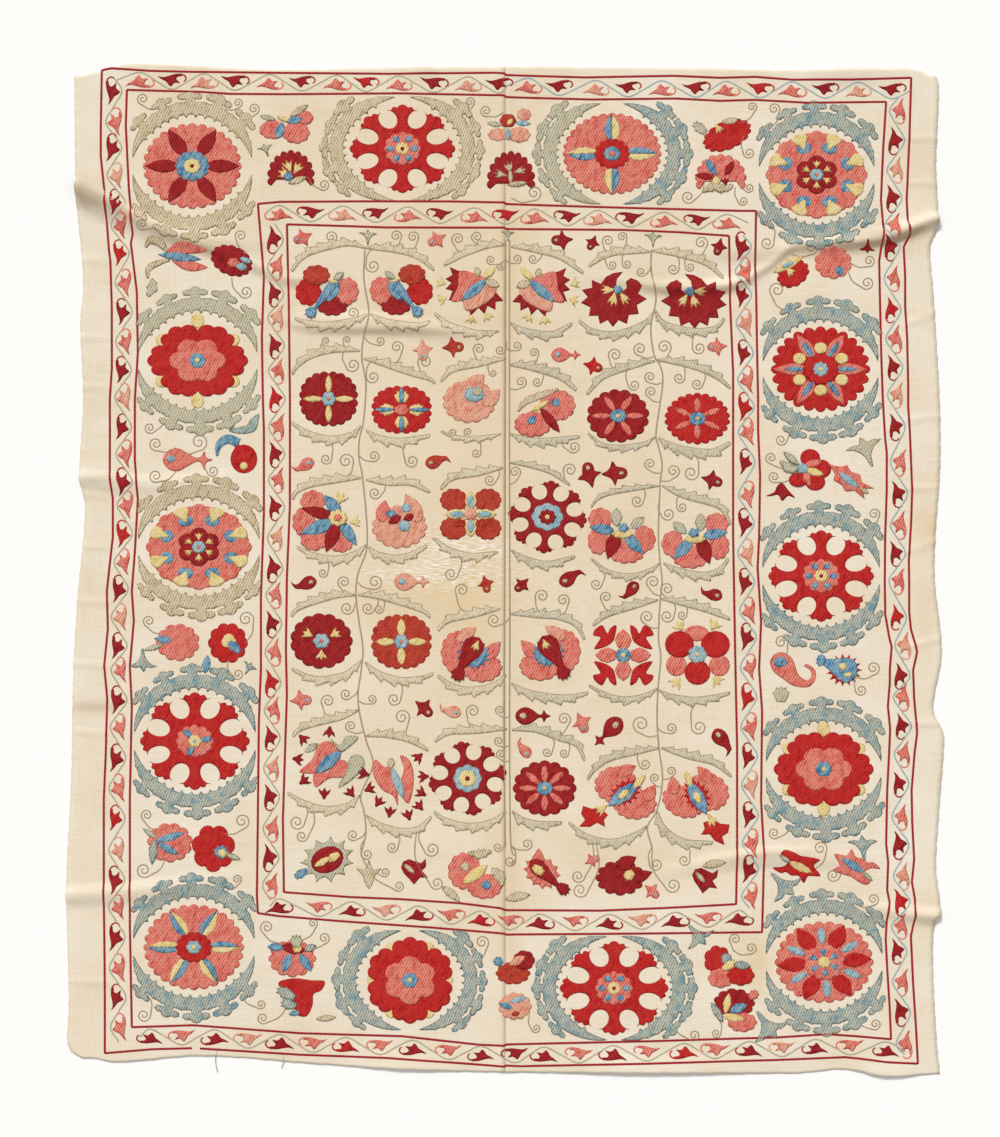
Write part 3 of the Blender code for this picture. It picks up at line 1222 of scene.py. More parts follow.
@dataclass(frozen=True)
class Brush:
    """A filled leaf, tail or crescent: a middle line with half widths along it, and teeth on either side."""

    spine: tuple
    widths: tuple
    silk: Silk
    teeth: int = 0
    tooth: float = 1.6
    sides: tuple[float, float] = (1.0, 1.0)
    scallops: bool = False

    def outline(self) -> Points:
        """Draw the form's outline.

        Returns:
            The closed outline.
        """
        line = evenly(rounded(self.spine, closed=False), 1.3)
        ahead = np.gradient(line, axis=0)
        ahead /= np.maximum(np.linalg.norm(ahead, axis=1), 1e-9)[:, None]
        left = np.column_stack((-ahead[:, 1], ahead[:, 0]))
        share = np.linspace(0, 1, len(line))
        half = np.interp(share, np.linspace(0, 1, len(self.widths)), self.widths)
        phase = (share * self.teeth) % 1
        bump = phase**1.5 + 0.22 * np.abs(np.sin(3 * np.pi * phase)) if self.scallops else phase
        saw = bump * self.tooth * np.minimum(1, half / 2.5)
        port = line + left * (half + saw * self.sides[0])[:, None]
        starboard = line - left * (half + saw * self.sides[1])[:, None]
        return np.concatenate((port, starboard[::-1]))

    def stitch(self, work: StitchWork, spot: Spot) -> None:
        """Fill the form."""
        work.fill(spot, self.outline(), self.silk)


@dataclass(frozen=True)
class Fan:
    """A palmette: a scalloped fan that spreads from its base to both sides of +Y."""

    width: float
    height: float
    silk: Silk
    spread: float = 100.0
    lobes: int = 9
    depth: float = 0.12
    base: float = -3.0
    waist: float = 0.3

    def stitch(self, work: StitchWork, spot: Spot) -> None:
        """Fill the fan.

        Args:
            work: The piece of embroidery that it belongs to.
            spot: Where the motif sits.
        """
        count = self.lobes * 6
        share = np.arange(count + 1) / count
        angle = np.radians(self.spread) * (1 - 2 * share)
        radius = 1 - self.depth * (1 - np.abs(np.sin(self.lobes * np.pi * share)) ** 0.8)
        arc = np.column_stack((-np.sin(angle) * radius * self.width / 2, np.cos(angle) * radius * self.height))
        foot = self.width * self.waist
        outline = np.concatenate((arc, [(foot, self.base), (-foot, self.base)]))
        work.fill(spot, outline, self.silk)


@dataclass(frozen=True)
class Tendril:
    """A spiral of thread on a stem that grows out of a place nearby, in columns and rows of the photograph."""

    column: float
    row: float
    radius: float
    root: tuple[float, float]
    silk: Silk = TENDRIL

    # Times that the thread goes around, and how far in it goes
    TURNS = 1.65
    DEPTH = 0.86

    @classmethod
    def lay_all(cls, work: StitchWork, spirals: tuple, roots: Points, reach: float) -> None:
        """Lay many tendrils, each from the root that leaves it a stem of about the wished length.

        Args:
            work: The piece they belong to.
            spirals: Their columns, rows and radii.
            roots: The places that they can grow out of.
            reach: The wished distance from root to middle, in radii.
        """
        for column, row, radius in spirals:
            gaps = np.hypot(roots[:, 0] - column, roots[:, 1] - row)
            root = roots[np.argmin(np.abs(gaps - reach * radius))]
            cls(column, row, radius, tuple(root)).stitch(work)

    def stitch(self, work: StitchWork) -> None:
        """Lay the stem and the spiral as one cord.

        Args:
            work: The piece of embroidery that it belongs to.
        """
        (middle,), (start,) = paged(((self.column, self.row),)), paged((self.root,))
        gap = start - middle
        far = max(float(np.hypot(*gap)), self.radius * 1.2)
        way = 1 if gap[0] < 0 else -1
        enter = math.atan2(gap[1], gap[0]) + way * math.acos(self.radius / far)
        share = np.arange(29) / 28
        angle = enter + way * 2 * math.pi * self.TURNS * share
        radius = self.radius * (1 - self.DEPTH * share)
        curl = np.column_stack((np.cos(angle) * radius, np.sin(angle) * radius)) + middle
        run = curl[0] - start
        bend = (start + curl[0]) / 2 + way * 0.14 * np.array((run[1], -run[0]))
        stem = rounded((start, bend, curl[0]), closed=False, steps=6)
        work.cord(PAGE, np.concatenate((stem[:-1], curl)), self.silk, 1.7, taper=(0.8, 0.8))


@dataclass(frozen=True)
class LeafRing:
    """Two hooked crescent leaves that close around a medallion."""

    wide: float
    high: float
    silks: tuple[Silk, Silk]
    upright: bool = True
    clubs: tuple = (-48.0, -22.0, 2.0, 26.0, 50.0)
    thick: float = 13.0
    reach: float = 82.0

    # One club: along the ring, and outward from its edge
    CLUB = (
        (-4.8, -0.6), (-3.8, 2.6), (-7.2, 2.4), (-10.2, 3.8), (-10.4, 7.2), (-7.6, 9.0), (-4.2, 8.6), (-2.6, 10.6),
        (0.0, 11.6), (2.6, 10.6), (4.2, 8.6), (7.6, 9.0), (10.4, 7.2), (10.2, 3.8), (7.2, 2.4), (3.8, 2.6), (4.8, -0.6),
    )

    # Half the length of ring that a club takes, and how far its notches and teeth go, in pixels
    CLUB_HALF = 5.0
    NOTCH = 0.9
    TOOTH = 3.2

    # Degrees of ring between points on its outer edge and on its inner one
    OUTER_STEP = 3.0
    INNER_STEP = 2.6

    def stitch(self, work: StitchWork, spot: Spot) -> None:
        """Fill both crescents.

        Args:
            work: The piece of embroidery that it belongs to.
            spot: Where the motif sits.
        """
        for k, silk in enumerate(self.silks):
            middle = (90.0 if self.upright else 180.0) + 180.0 * k
            work.fill(spot, self.crescent(middle, k), silk, slant=66)

    def crescent(self, middle: float, k: int) -> Points:
        """Draw one crescent.

        Args:
            middle: The direction of its middle in degrees.
            k: 0 for the first crescent and 1 for the second.

        Returns:
            Its outline.
        """

        def ring(degrees: Points, out: Points) -> Points:
            """Give places on the ring, moved outward.

            Args:
                degrees: Directions from the crescent's middle.
                out: How far outward each place is moved.

            Returns:
                The places.
            """
            a = np.radians(middle + degrees)
            line = np.column_stack((np.cos(a) * self.wide, np.sin(a) * self.high))
            way = np.column_stack((np.cos(a) * self.high, np.sin(a) * self.wide))
            return line + way / np.linalg.norm(way, axis=1)[:, None] * np.asarray(out)[:, None]

        def half(degrees: Points) -> Points:
            """Give the half thickness along the crescent."""
            return self.thick / 2 * np.clip(1.5 * np.cos(np.radians(degrees / self.reach * 90)), 0, 1) ** 0.8

        size = (self.wide + self.high) / 2
        outer = []
        stops = [-self.reach, *self.clubs, self.reach]
        wide = math.degrees(self.CLUB_HALF / size)
        for i, club in enumerate(self.clubs):
            run = np.arange(stops[i] + (wide if i else 0), club - wide, self.OUTER_STEP)
            notch = self.NOTCH * np.where(np.arange(len(run)) % 3 == 2, 1.0, 0.0)
            outer.append(ring(run, half(run) + notch * (half(run) > 3)))
            form = np.array(self.CLUB)
            bend = 1.0 + 0.1 * math.sin(3.1 * club + 2 * k)
            along = club + np.degrees(form[:, 0] * bend / size)
            outer.append(ring(along, half(np.full(len(form), club)) + form[:, 1] * bend))
        run = np.arange(self.clubs[-1] + wide, self.reach, self.OUTER_STEP)
        outer.append(ring(run, half(run)))
        back = np.arange(self.reach, -self.reach, -self.INNER_STEP)
        saw = self.TOOTH * (np.arange(len(back)) % 4 == 1) * (half(back) > 3.5)
        outer.append(ring(back, -half(back) - saw))
        return np.concatenate(outer)


@dataclass(frozen=True)
class Flower:
    """A flower built of filled parts: its centre in the photograph, its parts, its turn and how it is laid."""

    column: float
    row: float
    parts: tuple
    turn: float = 0.0
    flip: bool = False
    size: float = 1.0

    @property
    def spot(self) -> Spot:
        """Give where the flower sits."""
        return Spot(self.column, self.row, self.turn, self.flip, self.size)

    def stitch(self, work: StitchWork) -> None:
        """Fill each part in turn."""
        for part in self.parts:
            part.stitch(work, self.spot)


@dataclass(frozen=True)
class Medallion:
    """One of the fourteen large border flowers with its ring of two leaves."""

    name: str
    flower: Flower
    ring: LeafRing

    def build(self, cloth: ClothForm) -> None:
        """Make the flower and its ring as two pieces.

        Args:
            cloth: The cloth that it lies on.
        """
        work = StitchWork(f"{self.name}_flower", cloth)
        self.flower.stitch(work)
        work.finished()
        leaves = StitchWork(f"{self.name}_leaf_ring", cloth)
        self.ring.stitch(leaves, self.flower.spot)
        leaves.finished()


@dataclass(frozen=True)
class Line:
    """A chain-stitched line around the cloth, through columns and rows of the photograph."""

    name: str
    places: tuple
    closed: bool = True

    def build(self, cloth: ClothForm) -> None:
        """Make the line as one piece.

        Args:
            cloth: The cloth that it lies on.
        """
        work = StitchWork(self.name, cloth)
        places = self.places + self.places[:1] if self.closed else self.places
        work.cord(PAGE, paged(places), MADDER, 2.7, chain=True)
        work.finished()


OUTER_OUTER = Line(
    "outer_border_outer_line",
    (
        (200, 1048.3), (300, 1054.5), (387, 1057.6), (448, 1062), (504, 1066.3), (506, 1065.2), (520, 1066),
        (650, 1063), (780, 1059.6), (845, 1057), (861, 1058.5), (888, 1062), (917.7, 1063.4), (915.8, 1027),
        (912.9, 983), (910.7, 936), (914.8, 917), (914.8, 899), (911.7, 882), (914, 859), (912, 821),
        (911.4, 790), (914.5, 752), (917, 733), (916, 721), (914, 698), (913, 670), (917, 652), (915, 644),
        (910.7, 629), (909, 612), (909, 583), (908.7, 560), (911, 522), (912, 491), (909.6, 430), (908, 407),
        (908, 384), (907, 338), (905, 307), (905, 277), (903.5, 247), (909.6, 235), (907.6, 220), (906.5, 200),
        (909.2, 140), (911, 78), (852, 80), (793, 80), (755, 77), (720, 78), (674, 76), (586, 77.6), (506, 75.4),
        (504, 73.6), (494, 73), (390, 74), (280, 73), (190, 72), (150, 71), (112, 68.5), (104, 70), (102, 71),
        (101, 126), (101, 157), (105, 195), (109, 249), (110.5, 261), (112, 307), (112, 368), (110, 399),
        (110, 476), (113, 499), (113, 537), (107, 591), (108, 629), (104.4, 666), (107.4, 698), (106, 752),
        (104, 798), (104, 900), (105, 987), (105, 1053), (152, 1049), (192, 1048),
    ),
    closed=False,
)
OUTER_INNER = Line(
    "outer_border_inner_line",
    (
        (127, 90), (126, 126), (129, 188), (133, 234), (131, 243), (137, 292), (138, 353), (135, 399),
        (135, 460), (138, 499), (135, 552), (132, 591), (134, 621), (130, 666), (132, 706), (130, 798),
        (130, 926), (132, 1027), (193, 1025), (300, 1033), (402, 1036), (479, 1044.5), (504, 1045.5),
        (506, 1044.2), (650, 1041), (780, 1037), (827, 1034), (856, 1036), (890.9, 1039), (889.4, 1005),
        (887, 968), (885.5, 939), (886.5, 921), (889.4, 902), (887, 890), (888, 862), (886, 844), (887, 790),
        (889, 752), (890, 729), (887.7, 706), (889.7, 683), (889.7, 669), (891.5, 647), (889, 637), (885, 614),
        (884.6, 583), (885, 537), (886.6, 491), (886.6, 453), (885, 439), (882.6, 399), (881, 353), (880, 307),
        (879, 261), (883.5, 231), (880.8, 200), (883, 150), (886, 102), (808, 103), (755, 100), (720, 101),
        (676, 98.7), (592, 99.7), (506, 97.4), (504, 95.6), (400, 93.5), (280, 94.4), (230, 94), (200, 92),
        (160, 91),
    ),
)
INNER_OUTER = Line(
    "inner_border_outer_line",
    (
        (258, 204), (264, 276), (262, 338), (263, 400), (264, 430), (264, 514), (261, 598), (261, 669),
        (259, 721), (258, 813), (257, 895), (258, 913), (280, 916), (341, 921), (433, 927.5), (504, 933.4),
        (506, 934.4), (640, 933.4), (762, 932), (764, 854), (761, 801), (762, 711), (759, 669), (761, 621),
        (759.5, 598), (757.5, 568), (759, 537), (760, 476), (758, 430), (758, 399), (757, 353), (756, 292),
        (755, 269), (756, 211), (740, 211), (592, 207), (506, 204.2), (504, 202.6), (448, 201.5), (360, 201.5),
        (280, 202),
    ),
)
INNER_INNER = Line(
    "inner_border_inner_line",
    (
        (287, 224.5), (289, 307), (290, 399), (290, 506), (287, 577), (286, 650), (287, 694), (283, 819),
        (284, 892), (351, 897), (400, 899), (459, 903), (500, 908), (506, 910), (600, 910.5), (661, 908),
        (700, 906), (736, 904), (737, 854), (737, 747), (735, 650), (733, 533), (733, 372), (730, 303),
        (729, 236), (680, 232.4), (624, 230), (506, 229.2), (504, 227.8), (387, 227.6), (340, 226),
    ),
)


@dataclass(frozen=True)
class Run:
    """One side of a border vine: where its sprigs are, and between which levels it winds.

    Attributes:
        upright: Whether it runs up the cloth, so that places are rows.
        levels: The level midway between the two lines, at places along the run.
        reds: Places of the red sprigs.
        pinks: Places of the pink sprigs.
        tips: 1 if the tips point to rising places, and -1 if they point back.
        red_side: The side the red sprigs lie on: -1 left or up, 1 right or down.
        ends: Where the stem starts and ends.
        stem: Its thread.
        swapped: The place of a sprig that has the other colour.
    """

    upright: bool
    levels: tuple
    reds: tuple
    pinks: tuple
    tips: int
    red_side: int
    ends: tuple
    stem: Silk = REED
    swapped: float = 0.0


@dataclass(frozen=True)
class Vine:
    """A winding stem with red and pink sprigs in turn."""

    name: str
    runs: tuple
    size: float = 1.0
    sway: float = 8.0

    # One sprig: its tip points along +X and its two lobes along +Y, and how slim it is where the vine lies level
    BODY = (
        (13.8, -5.0), (9.0, -3.2), (4.0, -4.0), (-1.0, -5.6), (-6.0, -6.2), (-10.2, -4.8), (-9.4, -2.6), (-6.4, -2.4),
        (-4.4, -0.6), (-5.0, 2.6), (-7.8, 6.4), (-3.0, 5.6), (-0.8, 7.2), (1.6, 10.2), (4.2, 6.6), (6.0, 2.6),
        (9.6, -0.2),
    )
    TAIL = ((-8.0, -5.2), (-11.8, -3.6), (-13.6, -0.4), (-13.2, 3.0), (-11.0, 5.0))
    SLIM = (0.72, 0.84)

    def build(self, cloth: ClothForm) -> None:
        """Make the stem, the red sprigs and the pink sprigs as three pieces.

        Args:
            cloth: The cloth that it lies on.
        """
        stems = StitchWork(f"{self.name}_stems", cloth)
        reds = StitchWork(f"{self.name}_red_sprigs", cloth)
        pinks = StitchWork(f"{self.name}_pink_sprigs", cloth)
        for run in self.runs:
            self._stem(stems, run)
            for work, places, side in ((reds, run.reds, run.red_side), (pinks, run.pinks, -run.red_side)):
                for k, place in enumerate(places):
                    chosen = work if place != run.swapped else (pinks if work is reds else reds)
                    self._sprig(chosen, run, place, side, chosen is reds, k)
        for work in (stems, reds, pinks):
            work.finished()

    def _place(self, run: Run, along: float, off: float) -> tuple[float, float]:
        """Give the column and row of a place in a run, moved off its middle level."""
        level = float(np.interp(along, *np.array(run.levels).T)) + off
        return (level, along) if run.upright else (along, level)

    def _stem(self, work: StitchWork, run: Run) -> None:
        """Lay a run's stem.

        Args:
            work: The piece of embroidery that it belongs to.
            run: The side of the border.
        """
        turns = [(place, -run.red_side) for place in run.reds] + [(place, run.red_side) for place in run.pinks]
        turns.sort()
        points = []
        for (place, side), (later, _) in zip(turns, turns[1:] + [(turns[-1][0] + 30, 0)]):
            points.append(self._place(run, place, side * self.sway))
            points.append(self._place(run, place * 0.5 + later * 0.5, 0.0))
        points = [self._place(run, run.ends[0], 0.0)] + points[:-1] + [self._place(run, run.ends[1], 0.0)]
        work.cord(PAGE, rounded(paged(points), closed=False, steps=8), run.stem, 1.9)

    def _sprig(self, work: StitchWork, run: Run, place: float, side: int, red: bool, k: int) -> None:
        """Fill one sprig and lay its tail.

        Args:
            work: The piece of embroidery that it belongs to.
            run: The side of the border.
            place: Where along the run it is.
            side: Which side of the vine it lies on: -1 left or up, 1 right or down.
            red: Whether it is one of the red sprigs.
            k: Its number in its row.
        """
        column, row = self._place(run, place, side * 2.4)
        heading = (270.0 if run.tips > 0 else 90.0) if run.upright else (0.0 if run.tips > 0 else 180.0)
        wobble = 5.0 * math.sin(2.3 * k + place * 0.7)
        lobe = turned(((0.0, 1.0),), heading)[0]
        inward = (-side, 0.0) if run.upright else (0.0, side)
        flip = lobe[0] * inward[0] + lobe[1] * inward[1] < 0
        shape = (1, self.SLIM[run.upright] * (-1 if flip else 1))
        body, tail = np.array(self.BODY) * shape, np.array(self.TAIL) * shape
        size = self.size * (1 + 0.05 * math.sin(5.1 * k + place))
        spot = Spot(column, row, heading + wobble, size=size)
        silk = CRIMSON if red else (SALMON if k % 4 == 1 else ROSE)
        if red and k % 5 == 3:
            silk = SCARLET
        work.fill(spot, rounded(body, steps=2), silk)
        work.cord(spot, rounded(tail, closed=False), silk, 1.9, taper=(1.6, 0.6))


OUTER_VINE = Vine("outer_vine", (
    Run(False, ((110, 80), (200, 82), (390, 84), (500, 85.5)),
        (172, 235, 302, 366, 434, 499), (140, 204, 270, 337, 399, 468), -1, -1, (117, 508)),
    Run(False, ((500, 85.5), (590, 88.6), (720, 89.5), (900, 91)),
        (559, 628, 696, 760, 825, 892), (528, 596, 662, 726, 792, 858), -1, -1, (508, 910), MIST),
    Run(True, ((90, 114), (160, 114), (234, 120), (300, 124.5), (400, 123), (520, 125.5), (600, 119.5),
               (700, 119), (800, 117), (940, 117), (1040, 119)),
        (91, 148, 202.5, 253, 312, 370, 427, 482, 534, 589, 646, 700, 758, 818, 880, 937, 997),
        (122, 176, 226, 283, 342, 397.5, 454, 505, 562, 617, 670, 727, 788, 850, 907, 968, 1027),
        1, -1, (78, 1042)),
    Run(False, ((130, 1037), (200, 1036.5), (300, 1043.7), (402, 1047), (480, 1054), (560, 1055),
                (780, 1048.4), (845, 1046), (900, 1051)),
        (150, 215, 280, 346, 413, 481, 544, 613, 684, 749, 815, 886),
        (182, 248, 313, 380, 448.5, 515, 579, 647, 715, 782, 850), 1, 1, (140, 905), swapped=515),
    Run(True, ((100, 898), (160, 895.5), (247, 891.5), (300, 892.5), (400, 895.5), (490, 899.5),
               (560, 897), (610, 897), (647, 903), (700, 901), (733, 903.5), (800, 899.5), (900, 902),
               (940, 898), (1000, 901.5), (1040, 904)),
        (141, 198.5, 247.5, 310, 367.5, 427, 494, 553.5, 617, 676, 726, 784, 845, 902, 951, 1012),
        (111, 170, 226, 278.5, 339, 395, 462.5, 525, 581, 645.5, 697, 754, 817, 876, 926, 982, 1044),
        -1, -1, (98, 1054), MIST),
))
INNER_VINE = Vine("inner_vine", (
    Run(False, ((275, 213.5), (387, 214.6), (506, 216.4), (624, 219), (740, 223)),
        (311, 376, 440, 506, 567.5, 630, 697), (279, 343, 408, 474.5, 535, 598, 664, 727), 1, -1, (265, 748)),
    Run(True, ((215, 275), (307, 276), (400, 277), (506, 276.5), (600, 274), (700, 272.5), (900, 270.5)),
        (239.5, 294, 346, 399, 454.5, 507.6, 568.6, 624, 683, 738, 797, 857.5),
        (267, 318, 371, 427, 480, 538, 595, 652, 710, 768, 828.5, 885), -1, -1, (224, 900)),
    Run(False, ((270, 906), (351, 909.5), (459, 916.5), (506, 921.5), (600, 922.5), (740, 918)),
        (279, 352, 419, 481, 540, 609, 675, 739), (319, 386, 451, 510, 575, 642, 708), -1, 1, (270, 750)),
    Run(True, ((225, 743), (303, 743.5), (372, 745.6), (476, 746.8), (560, 745.5), (620, 748), (700, 748.6),
               (854, 750.5), (925, 749)),
        (246.5, 295, 353, 407, 462, 523, 582, 637, 697, 756, 815, 869),
        (271.5, 323, 380, 432, 495, 553, 611, 667, 727, 785, 843, 896), 1, -1, (236, 908), MIST),
))


def split_petals(count: int, start: float, outer: float, width: float, squash: float) -> tuple:
    """Give petals that are blue on one side and yellow on the other.

    Args:
        count: How many petals there are.
        start: The direction of the first petal in degrees.
        outer: How far out the petals' tips are.
        width: How wide a petal is.
        squash: The wreath's height as a share of its width.

    Returns:
        The parts of the wreath.
    """
    shared = dict(inner=14, outer=outer, width=width, start=start, squash=squash)
    return (
        Wreath(count, PETAL, BLUE, half=1, **shared),
        Wreath(count, PETAL, STRAW, half=-1, **shared),
    )


def budded_rose(width: float, height: float, start: float) -> tuple:
    """Give a lobed pink flower with eight two-coloured buds and a red centre.

    Args:
        width: Its full width.
        height: Its full height.
        start: The direction of the first petal in degrees.

    Returns:
        The parts of the flower.
    """
    squash = height / width
    half = width / 2
    return (
        Disc(width, height, ROSE, 8, 0.10, start=start, sharp=1.2, petals=24, petal_depth=0.04),
        Wreath(8, BUD, BLUE, half * 0.53, half * 0.78, 15.5, start + 22.5, squash=squash),
        Wreath(8, DROP, STRAW, half * 0.62, half * 0.98, 16.5, start + 22.5, squash=squash),
        Disc(44, 39, CRIMSON, 6, 0.2, start=90),
        Wreath(6, CROWN, STRAW, 7.5, 16.5, 8, 90, squash=0.9),
        Disc(14, 12.5, PALE_BLUE, 6, 0.1),
        Disc(4, 4, ROSE),
    )


def double_rose(width: float, height: float, start: float, buds: Silk) -> tuple:
    """Give a red flower of six broad petals with a pink one on it and yellow buds between the petals.

    Args:
        width: Its full width.
        height: Its full height.
        start: The direction of the first petal in degrees.
        buds: The thread of its buds.

    Returns:
        The parts of the flower.
    """
    squash = height / width if start == 0 else width / height
    reach = max(width, height) / 2
    return (
        Wreath(6, BUD, buds, reach * 0.64, reach * 0.95, 13, start + 30, squash=1.0),
        Disc(width, height, SCARLET, 18, 0.07, petals=6, start=start),
        Disc(57 if start == 0 else 54, 46 if start == 0 else 49, ROSE, 6, 0.2, start=start),
        Disc(17, 16, BLUE, 6, 0.2),
        Disc(5, 5, STRAW),
    )


def wheel(width: float, height: float, rosette: tuple) -> tuple:
    """Give a wheel with a small flower on its hub."""
    return (Wheel(width, height), *rosette)


ROSETTE_SPOTTED = (
    Disc(38, 34, ROSE, 12, 0.12),
    Wreath(6, BUD, BLUE, 8.5, 16, 6.5, 60, squash=0.9),
    Disc(14, 13, STRAW, 8, 0.15),
    Disc(4, 4, CRIMSON),
)
GREY_RING = (GREY, GREY)
BEIGE_RING = (BEIGE, BEIGE)
SEA_RING = (SEA, SEA)

MEDALLIONS = (
    Medallion("medallion_top_left", Flower(192.4, 166.3, (
        Disc(99, 86, ROSE, 28, 0.07),
        Wreath(6, PETAL, CRIMSON, 14, 48, 15.5, 0, squash=0.88),
        Disc(35, 31, BLUE, 12, 0.16),
        Disc(17, 15, STRAW, 8, 0.1),
        Disc(4.5, 4, CRIMSON),
    )), LeafRing(60, 58, BEIGE_RING)),
    Medallion("medallion_top_2", Flower(402.5, 149, wheel(104, 87, ROSETTE_SPOTTED)),
              LeafRing(66, 52, BEIGE_RING, upright=False, clubs=(-40.0, -21.0, -1.0, 19.0, 38.0), reach=84)),
    Medallion("medallion_top_3", Flower(612, 154, (
        Disc(99, 82, ROSE, 32, 0.06),
        *split_petals(4, 90, 46, 16, 0.88),
        Disc(36, 31, SCARLET, 14, 0.12),
        Disc(17, 15, BLUE, 8, 0.1),
        Disc(7, 6.5, ROSE, 6, 0.2),
    )), LeafRing(62.5, 51, (GREY, SEA), upright=False, clubs=(-42.0, -22.0, 0.0, 22.0, 42.0), reach=80)),
    Medallion("medallion_top_right", Flower(816.5, 175, budded_rose(102, 88, 0)), LeafRing(58, 56.5, SEA_RING)),
    Medallion("medallion_left_2", Flower(197.8, 360.7, double_rose(101, 77, 0, STRAW)), LeafRing(60, 56.5, GREY_RING)),
    Medallion("medallion_left_3", Flower(199, 547, budded_rose(106, 86, 0)), LeafRing(61, 56, BEIGE_RING)),
    Medallion("medallion_left_4", Flower(195, 741, wheel(108, 96, (
        Disc(38, 33, ROSE, 12, 0.12),
        Wreath(3, BUD, BLUE, 6, 17, 6.5, 10, squash=0.9),
        Disc(14, 13, STRAW, 6, 0.2),
        Disc(4, 4, PALE_BLUE),
    ))), LeafRing(61, 60, SEA_RING)),
    Medallion("medallion_bottom_left", Flower(194, 947, (
        Disc(101, 86, ROSE, 28, 0.07),
        *split_petals(6, 0, 48, 14, 0.88),
        Disc(37, 31, SCARLET, 14, 0.12),
        Disc(15.5, 14, PALE_BLUE, 6, 0.2),
        Disc(5, 5, STRAW),
    )), LeafRing(61, 57, SEA_RING)),
    Medallion("medallion_bottom_2", Flower(410, 980, double_rose(91, 87, 90, STRAW)),
              LeafRing(61, 50, SEA_RING, upright=False, clubs=(-44.0, -23.0, -1.0, 21.0, 42.0), reach=82)),
    Medallion("medallion_bottom_3", Flower(614, 988, wheel(107, 92.6, ROSETTE_SPOTTED)),
              LeafRing(65, 52, SEA_RING, upright=False, clubs=(-40.0, -20.0, 0.0, 20.0, 40.0), reach=84)),
    Medallion("medallion_bottom_right", Flower(824, 962, (
        Disc(99, 82, ROSE, 26, 0.07),
        Wreath(6, PETAL, SCARLET, 18, 47.5, 18, 5, squash=0.86),
        Wreath(6, LENS, PALE_BLUE, 20, 42, 9, 35, squash=0.86),
        Disc(42, 36, ROSE, 12, 0.12, start=15),
        Wreath(6, DROP, BLUE, 6.5, 15.5, 7, 35, squash=0.88),
        Disc(13, 12, STRAW, 7, 0.2),
    )), LeafRing(58.5, 56, SEA_RING)),
    Medallion("medallion_right_4", Flower(823.5, 769, double_rose(100, 79, 0, STRAW)), LeafRing(58, 55, SEA_RING)),
    Medallion("medallion_right_3", Flower(821, 576, wheel(104, 90, ROSETTE_SPOTTED)), LeafRing(59, 58, SEA_RING)),
    Medallion("medallion_right_2", Flower(820.4, 369.3, (
        Disc(99.6, 86, SCARLET, 24, 0.1),
        Wreath(6, PETAL, ROSE, 14, 47, 14, 0, squash=0.87),
        Wreath(6, LENS, BLUE, 14, 37, 6.5, 0, squash=0.87),
        Wreath(6, BUD, STRAW, 18, 31, 13, 30, squash=0.87),
        Disc(36, 31, SCARLET, 14, 0.1),
        Disc(16, 15, PALE_BLUE, 8, 0.2),
        Disc(5, 5, STRAW),
    )), LeafRing(58, 56, SEA_RING)),
)


@dataclass(frozen=True)
class Arch:
    """A long scalloped leaf that curves over or under a flower, in columns and rows of the photograph."""

    places: tuple
    silk: Silk
    over: bool
    wide: float

    # Half widths along the leaf, as shares of the widest, and pixels of leaf for each scallop and its height
    HALVES = (0.22, 0.75, 1.0, 0.92, 0.7, 0.2)
    SCALLOP = 12.5
    HEIGHT = 4.6

    def stitch(self, work: StitchWork) -> None:
        """Fill the leaf, with its scallops away from the flower, and outline it with thread.

        Args:
            work: The piece of embroidery that it belongs to.
        """
        spine = paged(self.places)
        left_is_up = spine[-1][0] > spine[0][0]
        sides = (1.0, 0.0) if left_is_up == self.over else (0.0, 1.0)
        count = round(float(np.linalg.norm(np.diff(spine, axis=0), axis=1).sum()) / self.SCALLOP)
        widths = tuple(share * self.wide for share in self.HALVES)
        leaf = Brush(tuple(map(tuple, spine)), widths, self.silk, count, self.HEIGHT, sides, scallops=True)
        leaf.stitch(work, PAGE)
        for edge in np.array_split(leaf.outline(), 2):
            work.cord(PAGE, edge, TENDRIL, 1.0, taper=(0.6, 0.6))


def mirrored(column: float, row: float, parts: tuple, turn: float = 0.0) -> Flower:
    """Give a flower that is another one seen in a mirror."""
    return Flower(column, row, parts, turn, flip=True)


